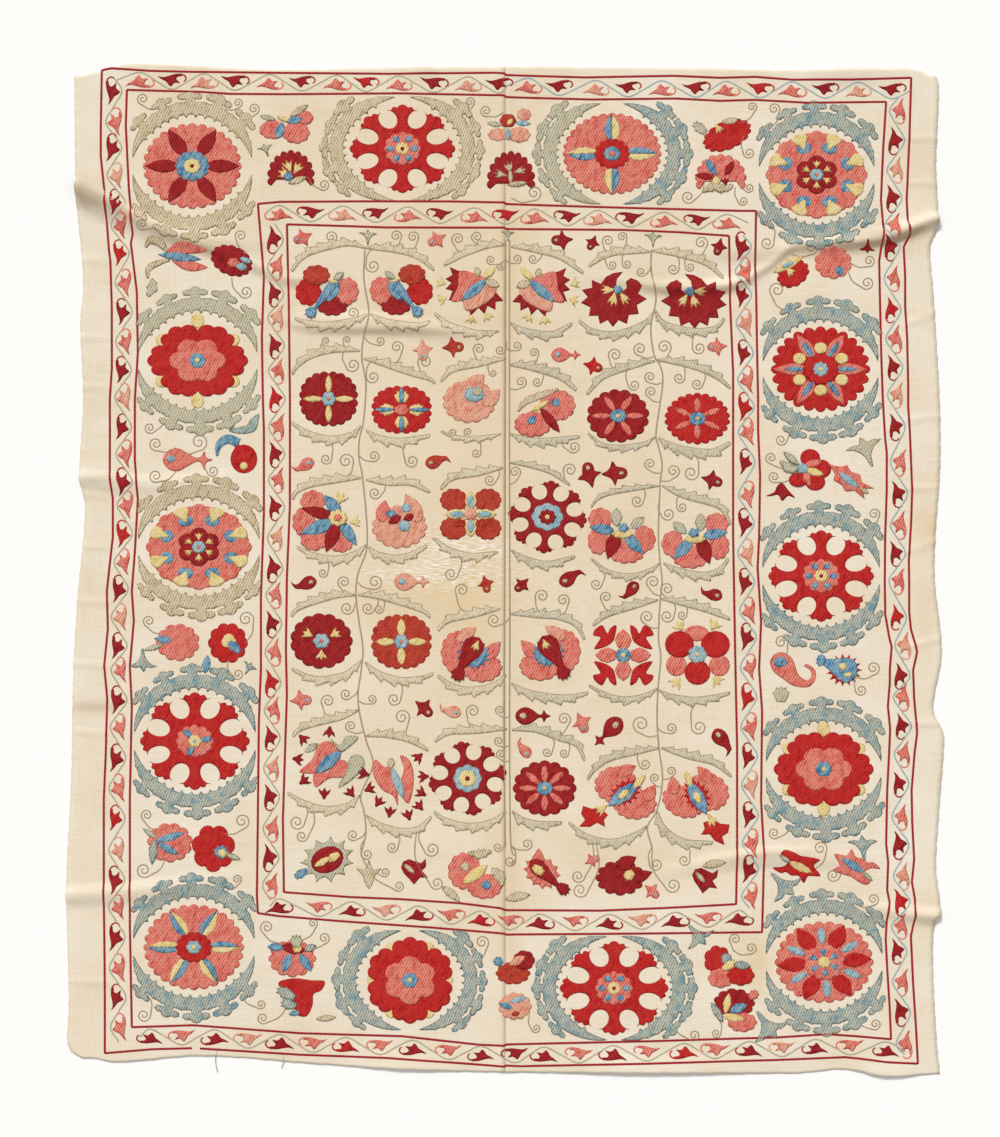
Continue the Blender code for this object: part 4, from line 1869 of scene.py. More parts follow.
TWO_ARMED_FAN = (
    Disc(27, 28, SCARLET, 9, 0.12, -19, -2),
    Disc(33, 24, CRIMSON, 10, 0.12, 5, -14),
    Disc(23, 28, ROSE, 9, 0.12, 20, -1),
    Disc(28, 21, BRICK, 9, 0.12, -11, 15),
    blade(BLUE, 9, 10, 0, -12, 15),
    drop(BLUE, -18, -25, 8, 9, 9),
    tuft(BLUE, -13, -18, -20, -27, 12),
    lens(STRAW, 1, 10, 11, 8, 5),
    lens(GREY, 6, 10, 16, 18, 7),
)
STRIPED_BELL = (
    Shape(((-10, 20), (-16, 20), (-25, 24), (-22, 16), (-29, 12), (-23, 8), (-29, 2), (-22, 0), (-26, -10), (-17, -7),
           (-15, 4), (-12, 13)), CRIMSON, soft=False),
    Shape(((22, -2), (29, -10), (21, -11), (21, -19), (13, -15), (10, -23), (4, -17), (-4, -25), (-6, -17), (-2, -12),
           (11, -8)), CRIMSON, soft=False),
    Shape(((-14, 20), (3, 16), (11, 12), (0, 0), (-11, -9), (-23, -10), (-17, 3)), ROSE),
    Shape(((11, 11), (22, 3), (15, -10), (-7, -20), (-11, -9), (0, 1)), SALMON),
    lens(BLUE, 13, 12, -13, -10, 11),
    lens(STRAW, 8, 12, 21, 24, 8),
    lens(BEIGE, 10, 10, 25, 5, 9),
    lens(BEIGE, 4, 14, 2, 24, 7),
    crown(STRAW, -29, 7, -38, 10, 12),
    crown(STRAW, -28, -7, -37, -10, 12),
    crown(STRAW, -3, -24, -4, -33, 12),
    crown(STRAW, 11, -22, 15, -30, 12),
)
RAYS = np.array(((29, 13), (34, 0), (26, -15), (14, -25), (0, -28), (-13, -25), (-24, -17), (-32, -4), (-31, 9),
                 (-21, 19)))
RAY_EDGE = np.stack((RAYS, 0.4 * (RAYS + np.roll(RAYS, -1, axis=0))), 1).reshape(-1, 2)[:-1]
HORNS = ((-12, 15), (-7, 22), (1, 26), (10, 27), (4, 20), (3, 13), (9, 7), (14, 11), (13, 17), (18, 21), (25, 18))
RAY_FAN = (
    Shape((*map(tuple, RAY_EDGE), *HORNS), CRIMSON, soft=False),
    crown(STRAW, 3, 9, -13, 9, 9),
    crown(STRAW, 3, 8, -2, -8, 10),
    crown(STRAW, 6, 8, 16, -6, 9),
    Disc(10, 9, BLUE, 6, 0.2, 5, 9),
)


def lens_cross(width: float, height: float, silk: Silk, lens_width: float) -> tuple:
    """Give a four-lobed round with four pale lens petals and a blue centre.

    Args:
        width: Its full width.
        height: Its full height.
        silk: The thread of its main part.
        lens_width: How wide each yellow petal is.

    Returns:
        The parts of the flower.
    """
    return (
        Disc(width, height, silk, 20, 0.07, petals=4, petal_depth=0.07, start=45),
        Wreath(4, LENS, STRAW, 5, 26, lens_width, squash=height / width),
        Disc(15, 15, PALE_BLUE, 6, 0.2),
        Disc(4, 4, ROSE),
    )


def petal_round(width: float, height: float, silk: Silk, count: int, lobes: int, start: float) -> tuple:
    """Give a scalloped round with slim pink petals and a blue centre.

    Args:
        width: Its full width.
        height: Its full height.
        silk: The thread of its main part.
        count: How many petals lie on it.
        lobes: How many scallops its edge has.
        start: The direction of the first petal in degrees.

    Returns:
        The parts of the flower.
    """
    return (
        Disc(width, height, silk, lobes, 0.09, start=start),
        Wreath(count, LENS, ROSE, 6, 27, 7.5, start, squash=height / width),
        Disc(17, 14, BLUE, 9, 0.14),
        Disc(4.5, 4, STRAW),
    )


STAR_CROSS = (
    Disc(64, 51, SCARLET, 20, 0.08, petals=4, petal_depth=0.08, start=45),
    Wreath(4, TUFT, STRAW, 8, 23, 15, squash=0.85),
    Wreath(4, LENS, BLUE, 7, 28, 6, squash=0.82),
    Disc(15, 12, ROSE, 7, 0.15),
)
HOOKED_FAN = (
    Disc(54, 44, SALMON, 15, 0.09, -2, -4),
    blade(SALMON, -4, 6, 13, 23, 18),
    blade(SALMON, 12, -8, 29, 8, 16),
    Disc(21, 16, PALE_BLUE, 9, 0.18, 3, 3),
    Disc(11, 9, GREY, 0, 0, 6, 6),
)
BUTTERFLY = (
    Disc(36, 32, ROSE, 11, 0.1, 13, 8),
    Disc(38, 26, ROSE, 11, 0.1, -12, -11),
    lens(CRIMSON, -5, 6, 15, -19, 10),
    tuft(BLUE, 13, 7, 9, 15, 9),
    tuft(BLUE, -16, -10, -9, -3, 9),
    lens(STRAW, -14, 2, 5, 13, 6),
    Brush(((-27, 2), (-18, 12), (0, 19), (14, 24)), (1, 3, 3, 1), BEIGE, 5, 2.0, (1, 0)),
)
THREE_BLADE_FAN = (
    Disc(26, 24, ROSE, 8, 0.12, -13, 20),
    Disc(24, 30, ROSE, 9, 0.12, -22, 0),
    Disc(28, 22, ROSE, 9, 0.12, -12, -18),
    Disc(27, 22, ROSE, 9, 0.12, 15, -20),
    blade(BLUE, 14, 8, -2, 27, 13),
    blade(CRIMSON, 8, 5, -25, 14, 12),
    blade(BLUE, 8, 0, -26, -12, 14),
    blade(CRIMSON, 11, -2, 0, -30, 14),
    blade(BLUE, 15, 0, 31, -24, 12),
    Disc(19, 17, STRAW, 8, 0.16, 12, 4),
    Disc(9, 8, ROSE, 5, 0.2, 12, 4),
    crown(STRAW, 12, 18, 18, 29, 13),
    crown(STRAW, 24, -1, 35, 1, 12),
)
FADED_FAN = (
    Disc(56, 44, SALMON, 15, 0.1, 0, -5),
    blade(ROSE, -18, 0, -14, 22, 15),
    blade(SALMON, 20, 0, 6, 28, 18),
    lens(BLUE, -2, 7, -14, 9, 8),
    lens(CRIMSON, 2, 6, -11, -1, 9),
    lens(CRIMSON, 4, 2, 15, 7, 8),
    Disc(12, 11, PALE_BLUE, 6, 0.1, 5, -4),
    Disc(10, 9, PALE_BLUE, 6, 0.1, 7, 14),
)
QUARTERED = tuple(
    part
    for x, y in ((17, 14), (-17, 14), (-17, -14), (17, -14))
    for part in (
        Disc(28, 24, BRICK, 10, 0.1, x, y),
        crown(BRICK, x * 0.9, y * 0.9, x * 0.3, y * 0.35, 13),
    )
) + (
    Wreath(4, LENS, STRAW, 4, 26, 12, squash=0.88),
    Wreath(4, LENS, PALE_BLUE, 6, 22, 8, squash=0.88),
    Disc(14, 12, SALMON, 6, 0.2),
)
FOUR_BLADE_FAN = (
    Disc(25, 23, ROSE, 8, 0.12, -22, 16),
    Disc(22, 28, ROSE, 9, 0.12, -24, -6),
    Disc(38, 24, ROSE, 11, 0.12, 4, -17),
    Disc(23, 27, ROSE, 8, 0.12, 22, -4),
    blade(BLUE, -9, 4, -33, 8, 11),
    blade(CRIMSON, -5, 3, -15, -24, 15),
    blade(BLUE, 3, 0, 21, -19, 12),
    lens(GREY, -6, 8, -6, 27, 12),
    lens(GREY, 8, 6, 22, 18, 11),
    Disc(22, 9, STRAW, 8, 0.2, 0, 1),
    Disc(11, 10, BLUE, 5, 0.25, 1, 7),
)
CROWNED_ROUND = (
    Disc(63, 56, CRIMSON, 15, 0.08),
    Wreath(3, CROWN, STRAW, 10, 22, 12, 30, squash=0.9),
    Disc(17, 16, PALE_BLUE, 6, 0.2),
    Disc(5, 4, ROSE),
)
DROP_FAN = (
    Disc(34, 44, ROSE, 12, 0.1, -14, 2),
    Disc(42, 30, ROSE, 12, 0.1, 10, -13),
    blade(ROSE, 14, -4, 29, 13, 14),
    blade(SALMON, -14, 14, 5, 27, 14),
    Disc(34, 30, BLUE, 15, 0.22, 2, 0, sharp=-0.9),
    drop(CRIMSON, -15, -19, 8, 17, 22),
    tuft(CRIMSON, -10, -14, -17, -26, 15),
    crown(STRAW, 7, 14, 2, 3, 9),
)
FLEUR = ((29, 6), (19, 8), (11, 13), (8, 20), (7, 30), (13, 27), (16, 22), (21, 30), (28, 26), (30, 20), (23, 18),
         (26, 12))
LILY_CROSS = (
    Wreath(4, LENS, ROSE, 4, 28, 17, squash=0.93),
    *(Shape(tuple((x * sx, y * sy) for x, y in FLEUR), SCARLET) for sx in (1, -1) for sy in (1, -1)),
    Disc(16, 15, BLUE, 8, 0.18),
    Disc(5, 5, STRAW),
)
BALL_ROSE = (
    Disc(25, 16, ROSE, 0, 0, -1, 21),
    Disc(21, 22, ROSE, 0, 0, -21, -11),
    Disc(21, 22, ROSE, 0, 0, 22, -11),
    Disc(29, 27, SCARLET, 0, 0, -18, 10),
    Disc(29, 27, SCARLET, 0, 0, 18, 10),
    Disc(26, 25, SCARLET, 0, 0, 0, -18),
    Disc(19, 18, PALE_BLUE, 7, 0.18),
    Disc(5, 5, STRAW),
    *(crown(STRAW, x * 0.7, y * 0.72, x, y, 15)
      for x, y in ((-21, 33), (20, 34), (-25, -33), (23, -31))),
)


def crowned(parts: tuple, places: tuple, silk: Silk = CRIMSON) -> tuple:
    """Give a flower with a ring of small three-pointed buds around it.

    Args:
        parts: The parts of the flower itself.
        places: Where the middles of the buds are.
        silk: The thread of the buds.

    Returns:
        The parts of the flower with its buds.
    """
    buds = []
    for x, y in places:
        half = 6 / math.hypot(x, y)
        foot, tip = ((x * share, y * share) for share in (1 + half, 1 - half))
        buds.append(crown(silk, *foot, *tip, 13))
    return parts + tuple(buds)


BLUE_HEARTED_TULIP = (
    Shape(((-27, -9), (-15, 3), (-8, 18), (3, 22), (13, 12), (13, 3), (-2, -9)), ROSE),
    Shape(((-11, -24), (-12, -9), (1, -9), (15, 4), (26, -7), (17, -14), (3, -15)), ROSE),
    lens(BLUE, 16, 13, -11, -10, 13),
    Shape(((4, 24), (14, 18), (20, 27), (32, 26), (22, 16), (14, 12)), GREY),
    Shape(((24, 6), (20, -8), (12, -24), (26, -16), (38, -2), (34, 8)), GREY),
    lens(GREY, -8, 20, -22, 11, 8),
)
UPRIGHT_TULIP = (
    Shape(((-21, 18), (-23, 4), (-14, -12), (-3, -18), (2, -28), (1, -10), (-4, 9), (-12, 11)), ROSE),
    Shape(((4, 22), (14, 17), (18, -1), (14, -24), (8, -22), (5, -4), (8, 9)), ROSE),
    lens(PALE_BLUE, -5, 12, 8, -22, 9),
    lens(BEIGE, -6, 9, -4, 20, 8),
)
TAILED_FAN = (
    Disc(44, 38, ROSE, 13, 0.1, -9, 8),
    Disc(44, 32, ROSE, 13, 0.1, 10, -11),
    blade(ROSE, -8, 18, 11, 27, 13),
    blade(ROSE, 20, -8, 30, 8, 13),
    Disc(38, 26, SCARLET, 15, 0.3, 0, 0, sharp=-0.9, turn=38),
    lens(BLUE, -17, -13, 14, 10, 15),
    tuft(STRAW, -6, -5, 4, 3, 8),
    lens(STRAW, 8, 5, 20, 18, 7),
    Shape(((-42, -13), (-33, -16), (-24, -16), (-17, -22), (-21, -27), (-20, -34), (-28, -30), (-35, -34), (-46, -34),
           (-40, -27), (-44, -21)), SCARLET, soft=False),
    crown(STRAW, -18, -12, -30, -21, 11),
)
OPEN_BUD = (
    Shape(((-12, 2), (-10, 8), (-4, 10.5), (3, 8), (8, 6.5), (13, 11), (13, 3), (9, -1), (15, -8), (7, -8), (1, -15),
           (-4, -9), (-9, -4)), CRIMSON, soft=False),
    lens(BEIGE, -9.5, 6, 2, -4, 5.5),
)

FIELD = (
    ("field_row_1", (
        Flower(327.5, 290.4, TWO_ARMED_FAN), mirrored(401, 289.6, TWO_ARMED_FAN),
        Flower(474.5, 291, STRIPED_BELL), mirrored(541.3, 292, STRIPED_BELL),
        Flower(612.8, 299, RAY_FAN), mirrored(694.6, 301, RAY_FAN),
    )),
    ("field_row_2", (
        Flower(328.7, 399, lens_cross(62, 58, CRIMSON, 7)), Flower(401.7, 409.8, STAR_CROSS),
        Flower(471.4, 397.5, HOOKED_FAN), Flower(544.8, 413.5, BUTTERFLY),
        Flower(618, 416, petal_round(63, 54, CRIMSON, 6, 16, 120)),
        Flower(697.2, 418.7, petal_round(66, 52, SCARLET, 6, 22, 90)),
    )),
    ("field_row_3", (
        Flower(326, 521.9, THREE_BLADE_FAN), Flower(399.4, 521.9, FADED_FAN),
        Flower(470.7, 514.2, QUARTERED),
        Flower(547.4, 517, (
            Wheel(78, 72, CRIMSON, start=-6, hole=0.2), Disc(32, 28, PALE_BLUE, 8, 0.12),
            Disc(18, 16, CRIMSON, 8, 0.2), Disc(5, 5, STRAW),
        )),
        Flower(622.3, 535, FOUR_BLADE_FAN), mirrored(694.6, 540, FOUR_BLADE_FAN),
    )),
    ("field_row_4", (
        Flower(321.5, 641, CROWNED_ROUND), Flower(401.4, 641.7, lens_cross(64, 58, BRICK, 9)),
        Flower(471.5, 654.5, DROP_FAN), mirrored(550, 653, DROP_FAN),
        Flower(623.2, 655.2, LILY_CROSS), Flower(697.3, 654.3, BALL_ROSE),
    )),
    ("field_row_5", (
        Flower(326.4, 763.2, crowned(BLUE_HEARTED_TULIP, (
            (3, 31), (-23, 24), (-28, 4), (-22, -17), (-2, -30), (24, -29), (37, -10)))),
        Flower(396, 777.5, crowned(UPRIGHT_TULIP, (
            (22, 20), (27, 1), (25, -15), (23, -28), (12, -37), (-6, -34), (-17, -24), (-26, -11)))),
        Flower(467.5, 778.4, (
            Wheel(78, 74, CRIMSON, start=10, hole=0.2), Disc(29, 28, PALE_BLUE, 8, 0.12),
            Disc(18, 17, STRAW, 6, 0.1), Disc(5, 5, CRIMSON),
        )),
        Flower(544.6, 788.2, petal_round(64, 56, CRIMSON, 8, 16, 90)),
        Flower(625, 792.7, TAILED_FAN), mirrored(696.4, 795.4, TAILED_FAN, -24),
    )),
    ("field_row_6", (
        Flower(327.3, 859.6, (
            Disc(56, 46, GREY, 11, 0.27, sharp=-0.8, turn=20),
            Disc(34, 26, CRIMSON, turn=24),
            tuft(STRAW, 12, 6, 0, -1, 9), lens(STRAW, 4, 3, -13, -7, 7),
            tuft(BLUE, -20, -10, -33, -18, 9),
        )),
        Flower(413, 869.5, OPEN_BUD),
        Flower(475.5, 874, (
            Disc(34, 38, ROSE, 11, 0.1, -11, 3), Disc(36, 26, ROSE, 11, 0.1, 9, -12),
            lens(STRAW, -13, -10, 12, 9, 12), tuft(BEIGE, -8, 4, -14, 12, 10),
            tuft(BLUE, 8, -14, 14, -7, 11),
            Brush(((-8, 21), (4, 20), (16, 23)), (1, 4, 1), BEIGE, 4, 2),
            Brush(((16, 6), (24, -2), (27, -12)), (1, 5, 1), BEIGE, 4, 2),
        )),
        Flower(542, 872, (
            Disc(40, 32, ROSE, 12, 0.2, sharp=-0.9, turn=-35), blade(ROSE, -4, 4, -3, 24, 12),
            drop(CRIMSON, 20, -17, -12, 12, 16), tuft(CRIMSON, 16, -13, 27, -21, 13),
            tuft(STRAW, -9, 6, 2, -2, 10),
        )),
        Flower(623.2, 875.7, (
            Disc(50, 36, CRIMSON, 12, 0.14, -3, -2), blade(CRIMSON, -6, 8, 13, 19, 15),
            blade(CRIMSON, 8, -4, 29, 4, 12), tuft(STRAW, 10, 4, 1, -3, 11),
        )),
        Flower(703.6, 878.4, OPEN_BUD, -8),
    )),
)

# The arching leaves, from the stem outward: six over each row of flowers, then six under it
ARCHES = (
    ((365, 248), (345, 244), (318, 250), (302, 258), (292, 272)),
    ((365, 248), (395, 250), (418, 257), (434, 271)),
    ((506, 245), (487, 246), (464, 254), (444, 266)),
    ((511, 247), (534, 250), (560, 257), (583, 274)),
    ((650, 252), (620, 252), (603, 257), (589, 267)),
    ((652, 251), (681, 255), (707, 264), (723, 279)),
    ((369, 314), (349, 322), (326, 325), (306, 322), (295, 318)),
    ((370, 314), (387, 322), (407, 325), (420, 325), (430, 321)),
    ((499, 331), (484, 333), (471, 332), (448, 324), (435, 313)),
    ((510, 323), (526, 331), (552, 334), (572, 323)),
    ((654, 312), (643, 324), (617, 334), (593, 331), (579, 320)),
    ((655, 310), (665, 324), (693, 331), (715, 328), (724, 318)),
    ((360, 351), (334, 350), (311, 356), (297, 367), (293, 375)),
    ((364, 359), (387, 365), (410, 373), (428, 379), (435, 384)),
    ((505, 359), (479, 364), (453, 370), (441, 382)),
    ((510, 365), (534, 368), (560, 377), (576, 391)),
    ((655, 361), (629, 367), (603, 377), (587, 395)),
    ((657, 360), (689, 365), (715, 376), (730, 389)),
    ((361, 426), (350, 435), (330, 439), (308, 433), (292, 422)),
    ((366, 430), (380, 438), (402, 441), (430, 435)),
    ((501, 434), (479, 438), (456, 437), (441, 431)),
    ((510, 434), (534, 441), (557, 440), (580, 436)),
    ((655, 437), (643, 444), (624, 447), (603, 445), (588, 433)),
    ((658, 438), (672, 446), (689, 451), (712, 452), (730, 442)),
    ((361, 478), (338, 480), (314, 484), (298, 491), (293, 500)),
    ((366, 480), (387, 483), (410, 483), (430, 493)),
    ((503, 468), (479, 473), (453, 478), (441, 490)),
    ((510, 463), (531, 466), (552, 473), (570, 486)),
    ((659, 486), (634, 489), (612, 493), (598, 499), (591, 508)),
    ((662, 486), (681, 495), (707, 502), (722, 509), (730, 525)),
    ((366, 545), (354, 554), (334, 559), (311, 554), (297, 546)),
    ((367, 546), (378, 554), (395, 558), (412, 554), (427, 545)),
    ((498, 552), (471, 556), (448, 549), (433, 537)),
    ((511, 550), (526, 559), (548, 564), (575, 556)),
    ((660, 563), (648, 571), (629, 576), (607, 571), (591, 558)),
    ((663, 563), (681, 571), (703, 575), (719, 570), (728, 558)),
    ((355, 595), (334, 596), (311, 603), (297, 610), (292, 617)),
    ((358, 595), (380, 597), (402, 603), (422, 611), (430, 618)),
    ((500, 609), (471, 615), (448, 621), (438, 631)),
    ((510, 614), (534, 615), (558, 617), (576, 625), (584, 640)),
    ((658, 600), (634, 606), (607, 615), (593, 626)),
    ((661, 599), (686, 604), (707, 610), (730, 620)),
    ((362, 660), (346, 674), (326, 679), (309, 677), (292, 668)),
    ((365, 662), (380, 674), (401, 680), (421, 678), (433, 673)),
    ((506, 675), (491, 686), (469, 690), (451, 685), (438, 675)),
    ((511, 683), (527, 692), (550, 697), (571, 697), (588, 692)),
    ((658, 688), (643, 696), (625, 699), (607, 695), (589, 685)),
    ((659, 690), (671, 696), (693, 700), (714, 697), (730, 692)),
    ((359, 710), (342, 717), (321, 722), (301, 729), (293, 737)),
    ((366, 736), (387, 735), (409, 740), (428, 751)),
    ((507, 729), (469, 731), (448, 733), (435, 742)),
    ((512, 730), (536, 730), (559, 738), (577, 745), (584, 761)),
    ((659, 748), (636, 752), (611, 758), (595, 769), (588, 780)),
    ((661, 748), (688, 756), (714, 763), (731, 777)),
    ((360, 795), (346, 806), (325, 809), (303, 802), (288, 792)),
    ((366, 815), (380, 825), (401, 831), (419, 828), (431, 816)),
    ((506, 811), (491, 822), (469, 826), (446, 820), (434, 811)),
    ((512, 811), (525, 821), (543, 824), (562, 822)),
    ((647, 826), (632, 836), (611, 842), (586, 836), (569, 822)),
    ((657, 811), (664, 829), (684, 842), (713, 842)),
)

# The half widths of the arching leaves that are slimmer or broader than the others, by their numbers
ARCH_WIDTHS = {15: 3.6, 20: 2.0, 22: 2.2, 23: 3.8, 27: 2.2, 28: 2.0, 34: 2.2, 45: 3.4, 46: 2.4, 59: 3.4}

STEMS = (
    ((365, 250), (364, 280), (369, 313), (363.5, 338), (362, 359), (366, 384), (363.5, 422), (359.6, 438),
     (359, 458), (363, 480), (367.3, 543), (358, 574), (356, 595), (359, 621), (363, 649), (361, 672),
     (358, 695), (360, 715), (366, 740), (373, 765), (361, 794), (364, 811), (366, 833), (361, 854)),
    ((505.5, 240), (505.2, 420), (504.6, 600), (504.2, 740), (505.2, 846)),
    ((509.5, 240), (509.4, 420), (509.8, 600), (509.6, 740), (510.7, 842), (516, 856), (511, 866)),
    ((651.5, 250), (651, 269), (655.8, 296), (654, 311), (650.7, 329), (654, 355), (660, 366), (662.7, 383),
     (656, 432), (658, 445), (662, 464), (660, 485), (658.4, 533), (660, 563), (662, 580), (660, 602),
     (658.4, 637), (660.7, 658), (658, 688), (657, 720), (659, 749), (662.5, 779), (657, 810), (647.3, 827),
     (652, 847)),
)


@dataclass(frozen=True)
class Sprinkle:
    """A small motif by itself: where its foot is, which way it points, its length and its silk."""

    column: float
    row: float
    angle: float
    length: float
    silk: Silk
    drawn: Enum


class Small(Enum):
    """Outlines of the small motifs, drawn along +X from -1 to 1."""

    FISH = ((-1.0, 0.0), (-0.8, 0.36), (-0.4, 0.5), (0.0, 0.34), (0.3, 0.1), (0.5, 0.12), (0.6, 0.36), (0.74, 0.12),
            (1.0, 0.0), (0.74, -0.12), (0.6, -0.36), (0.5, -0.12), (0.3, -0.1), (0.0, -0.34), (-0.4, -0.5),
            (-0.8, -0.36))
    COMMA = ((-1.0, 0.0), (-0.75, 0.42), (-0.2, 0.56), (0.35, 0.4), (0.75, 0.3), (1.0, -0.3), (0.7, 0.0), (0.3, -0.1),
             (-0.1, -0.42), (-0.65, -0.46))
    BELL = ((-1.0, 0.0), (-0.86, 0.34), (-0.5, 0.48), (-0.22, 0.5), (-0.06, 1.0), (0.22, 0.5), (0.56, 0.3),
            (1.05, 0.1), (0.62, -0.14), (0.34, -0.46), (0.18, -0.95), (-0.14, -0.52), (-0.5, -0.46), (-0.86, -0.32))
    LILY = ((-1.0, 0.1), (-0.4, 0.2), (0.0, 0.42), (0.3, 0.72), (0.5, 1.2), (0.6, 0.6), (0.5, 0.3), (0.95, 0.05),
            (0.5, -0.28), (0.55, -0.6), (0.35, -1.15), (0.15, -0.65), (-0.1, -0.38), (-0.4, -0.18), (-1.0, -0.08))
    LEAF = ((-1.0, 0.0), (-0.5, 0.34), (0.2, 0.4), (1.0, 0.0), (0.2, -0.3), (-0.5, -0.28))
    TRIDENT = ((-1.0, 0.0), (-0.3, 0.26), (-0.4, 0.85), (0.1, 0.42), (0.4, 0.34), (1.0, 0.0), (0.4, -0.34),
               (0.1, -0.42), (-0.4, -0.85), (-0.3, -0.26))


FISH, COMMA, BELL, LILY, LEAF, TRIDENT = Small


SPRINKLES = tuple(Sprinkle(*values) for values in (
    (303, 238, 20, 10, ROSE, BELL), (368, 237, 90, 8, GREY, LILY),
    (437, 240, 25, 10, ROSE, BELL), (508, 235, 90, 6, GREY, LILY),
    (562, 240.5, 0, 11, CRIMSON, BELL), (592.5, 243, 60, 8, CRIMSON, BELL),
    (653, 239, 90, 8, GREY, LILY), (719, 247, 70, 9, CRIMSON, BELL),
    (423, 350, 90, 11, SALMON, BELL), (453, 347, 180, 11, BRICK, BELL),
    (566, 355, 0, 15, ROSE, FISH), (593, 366, 160, 10, SCARLET, BELL),
    (717, 347, 0, 10, ROSE, BELL),
    (303, 465, 200, 12, ROSE, COMMA), (438, 462, 10, 13, BRICK, COMMA),
    (589, 475, -80, 13, CRIMSON, BELL), (614.5, 473, 180, 13, CRIMSON, BELL),
    (712, 480, 160, 11, CRIMSON, BELL),
    (304, 583, 190, 13, CRIMSON, COMMA), (412, 582, 0, 18, SALMON, FISH),
    (486, 584, 100, 9, BRICK, BELL), (522, 585, 40, 9, CRIMSON, BELL),
    (572, 578, 25, 14, CRIMSON, COMMA), (629, 590.5, 220, 12, CRIMSON, COMMA),
    (711, 593, 160, 12, CRIMSON, COMMA),
    (301, 700, 180, 11, ROSE, BELL), (424, 708, 135, 11, CRIMSON, BELL),
    (450, 710, 160, 12, SALMON, COMMA), (533, 716, 0, 18, CRIMSON, FISH),
    (582, 722.5, 110, 11, ROSE, BELL), (608, 732, 225, 19, CRIMSON, FISH),
    (722, 742, -60, 15, CRIMSON, COMMA), (524, 748, 120, 11, ROSE, COMMA),
    (592, 860, 200, 8, ROSE, BELL), (652, 891, 135, 9, ROSE, BELL),
    (518, 897, 10, 13, BEIGE, LEAF), (451, 894, -40, 12, BEIGE, LEAF),
    (369, 874, -90, 15, BEIGE, TRIDENT), (714, 864, 10, 12, BEIGE, LEAF),
))


def jagged_tulip(silk: Silk, heart: Silk) -> tuple:
    """Give a slim jagged tulip along +X with a lens in its heart.

    Args:
        silk: The thread of its main part.
        heart: The thread of its heart.

    Returns:
        The parts of the flower.
    """
    return (
        Shape(((-25, 1), (-14, 6), (-10, 11), (-3, 8), (6, 11), (12, 6), (25, 8), (16, 1),
               (24, -6), (11, -5), (4, -11), (-3, -8), (-12, -9), (-15, -3)), silk, soft=False),
        lens(heart, -13, 0, 13, 0, 8),
        lens(BEIGE, 13, 0, 24, 1, 5),
    )


def winged_tulip(silk: Silk, heart: Silk) -> tuple:
    """Give a tulip of two wavy petals around a lens that slants down to the right.

    Args:
        silk: The thread of its main part.
        heart: The thread of its heart.

    Returns:
        The parts of the flower.
    """
    return (
        Shape(((-16, 8), (-18, 12), (-13, 15), (-5, 12.5), (2, 9), (9, 8), (21, 5), (15, -1), (22, -11), (13, -11.5),
               (9, -12), (5, -18.5), (0, -11.5), (-7, -11), (-13, -7.5), (-18, -8.5), (-26, -3), (-16, -2),
               (-11, 3)), silk),
        lens(heart, -11, 3.5, 14, -8.5, 8.5),
        lens(GREY, -20, 10, -8, 2, 5),
    )


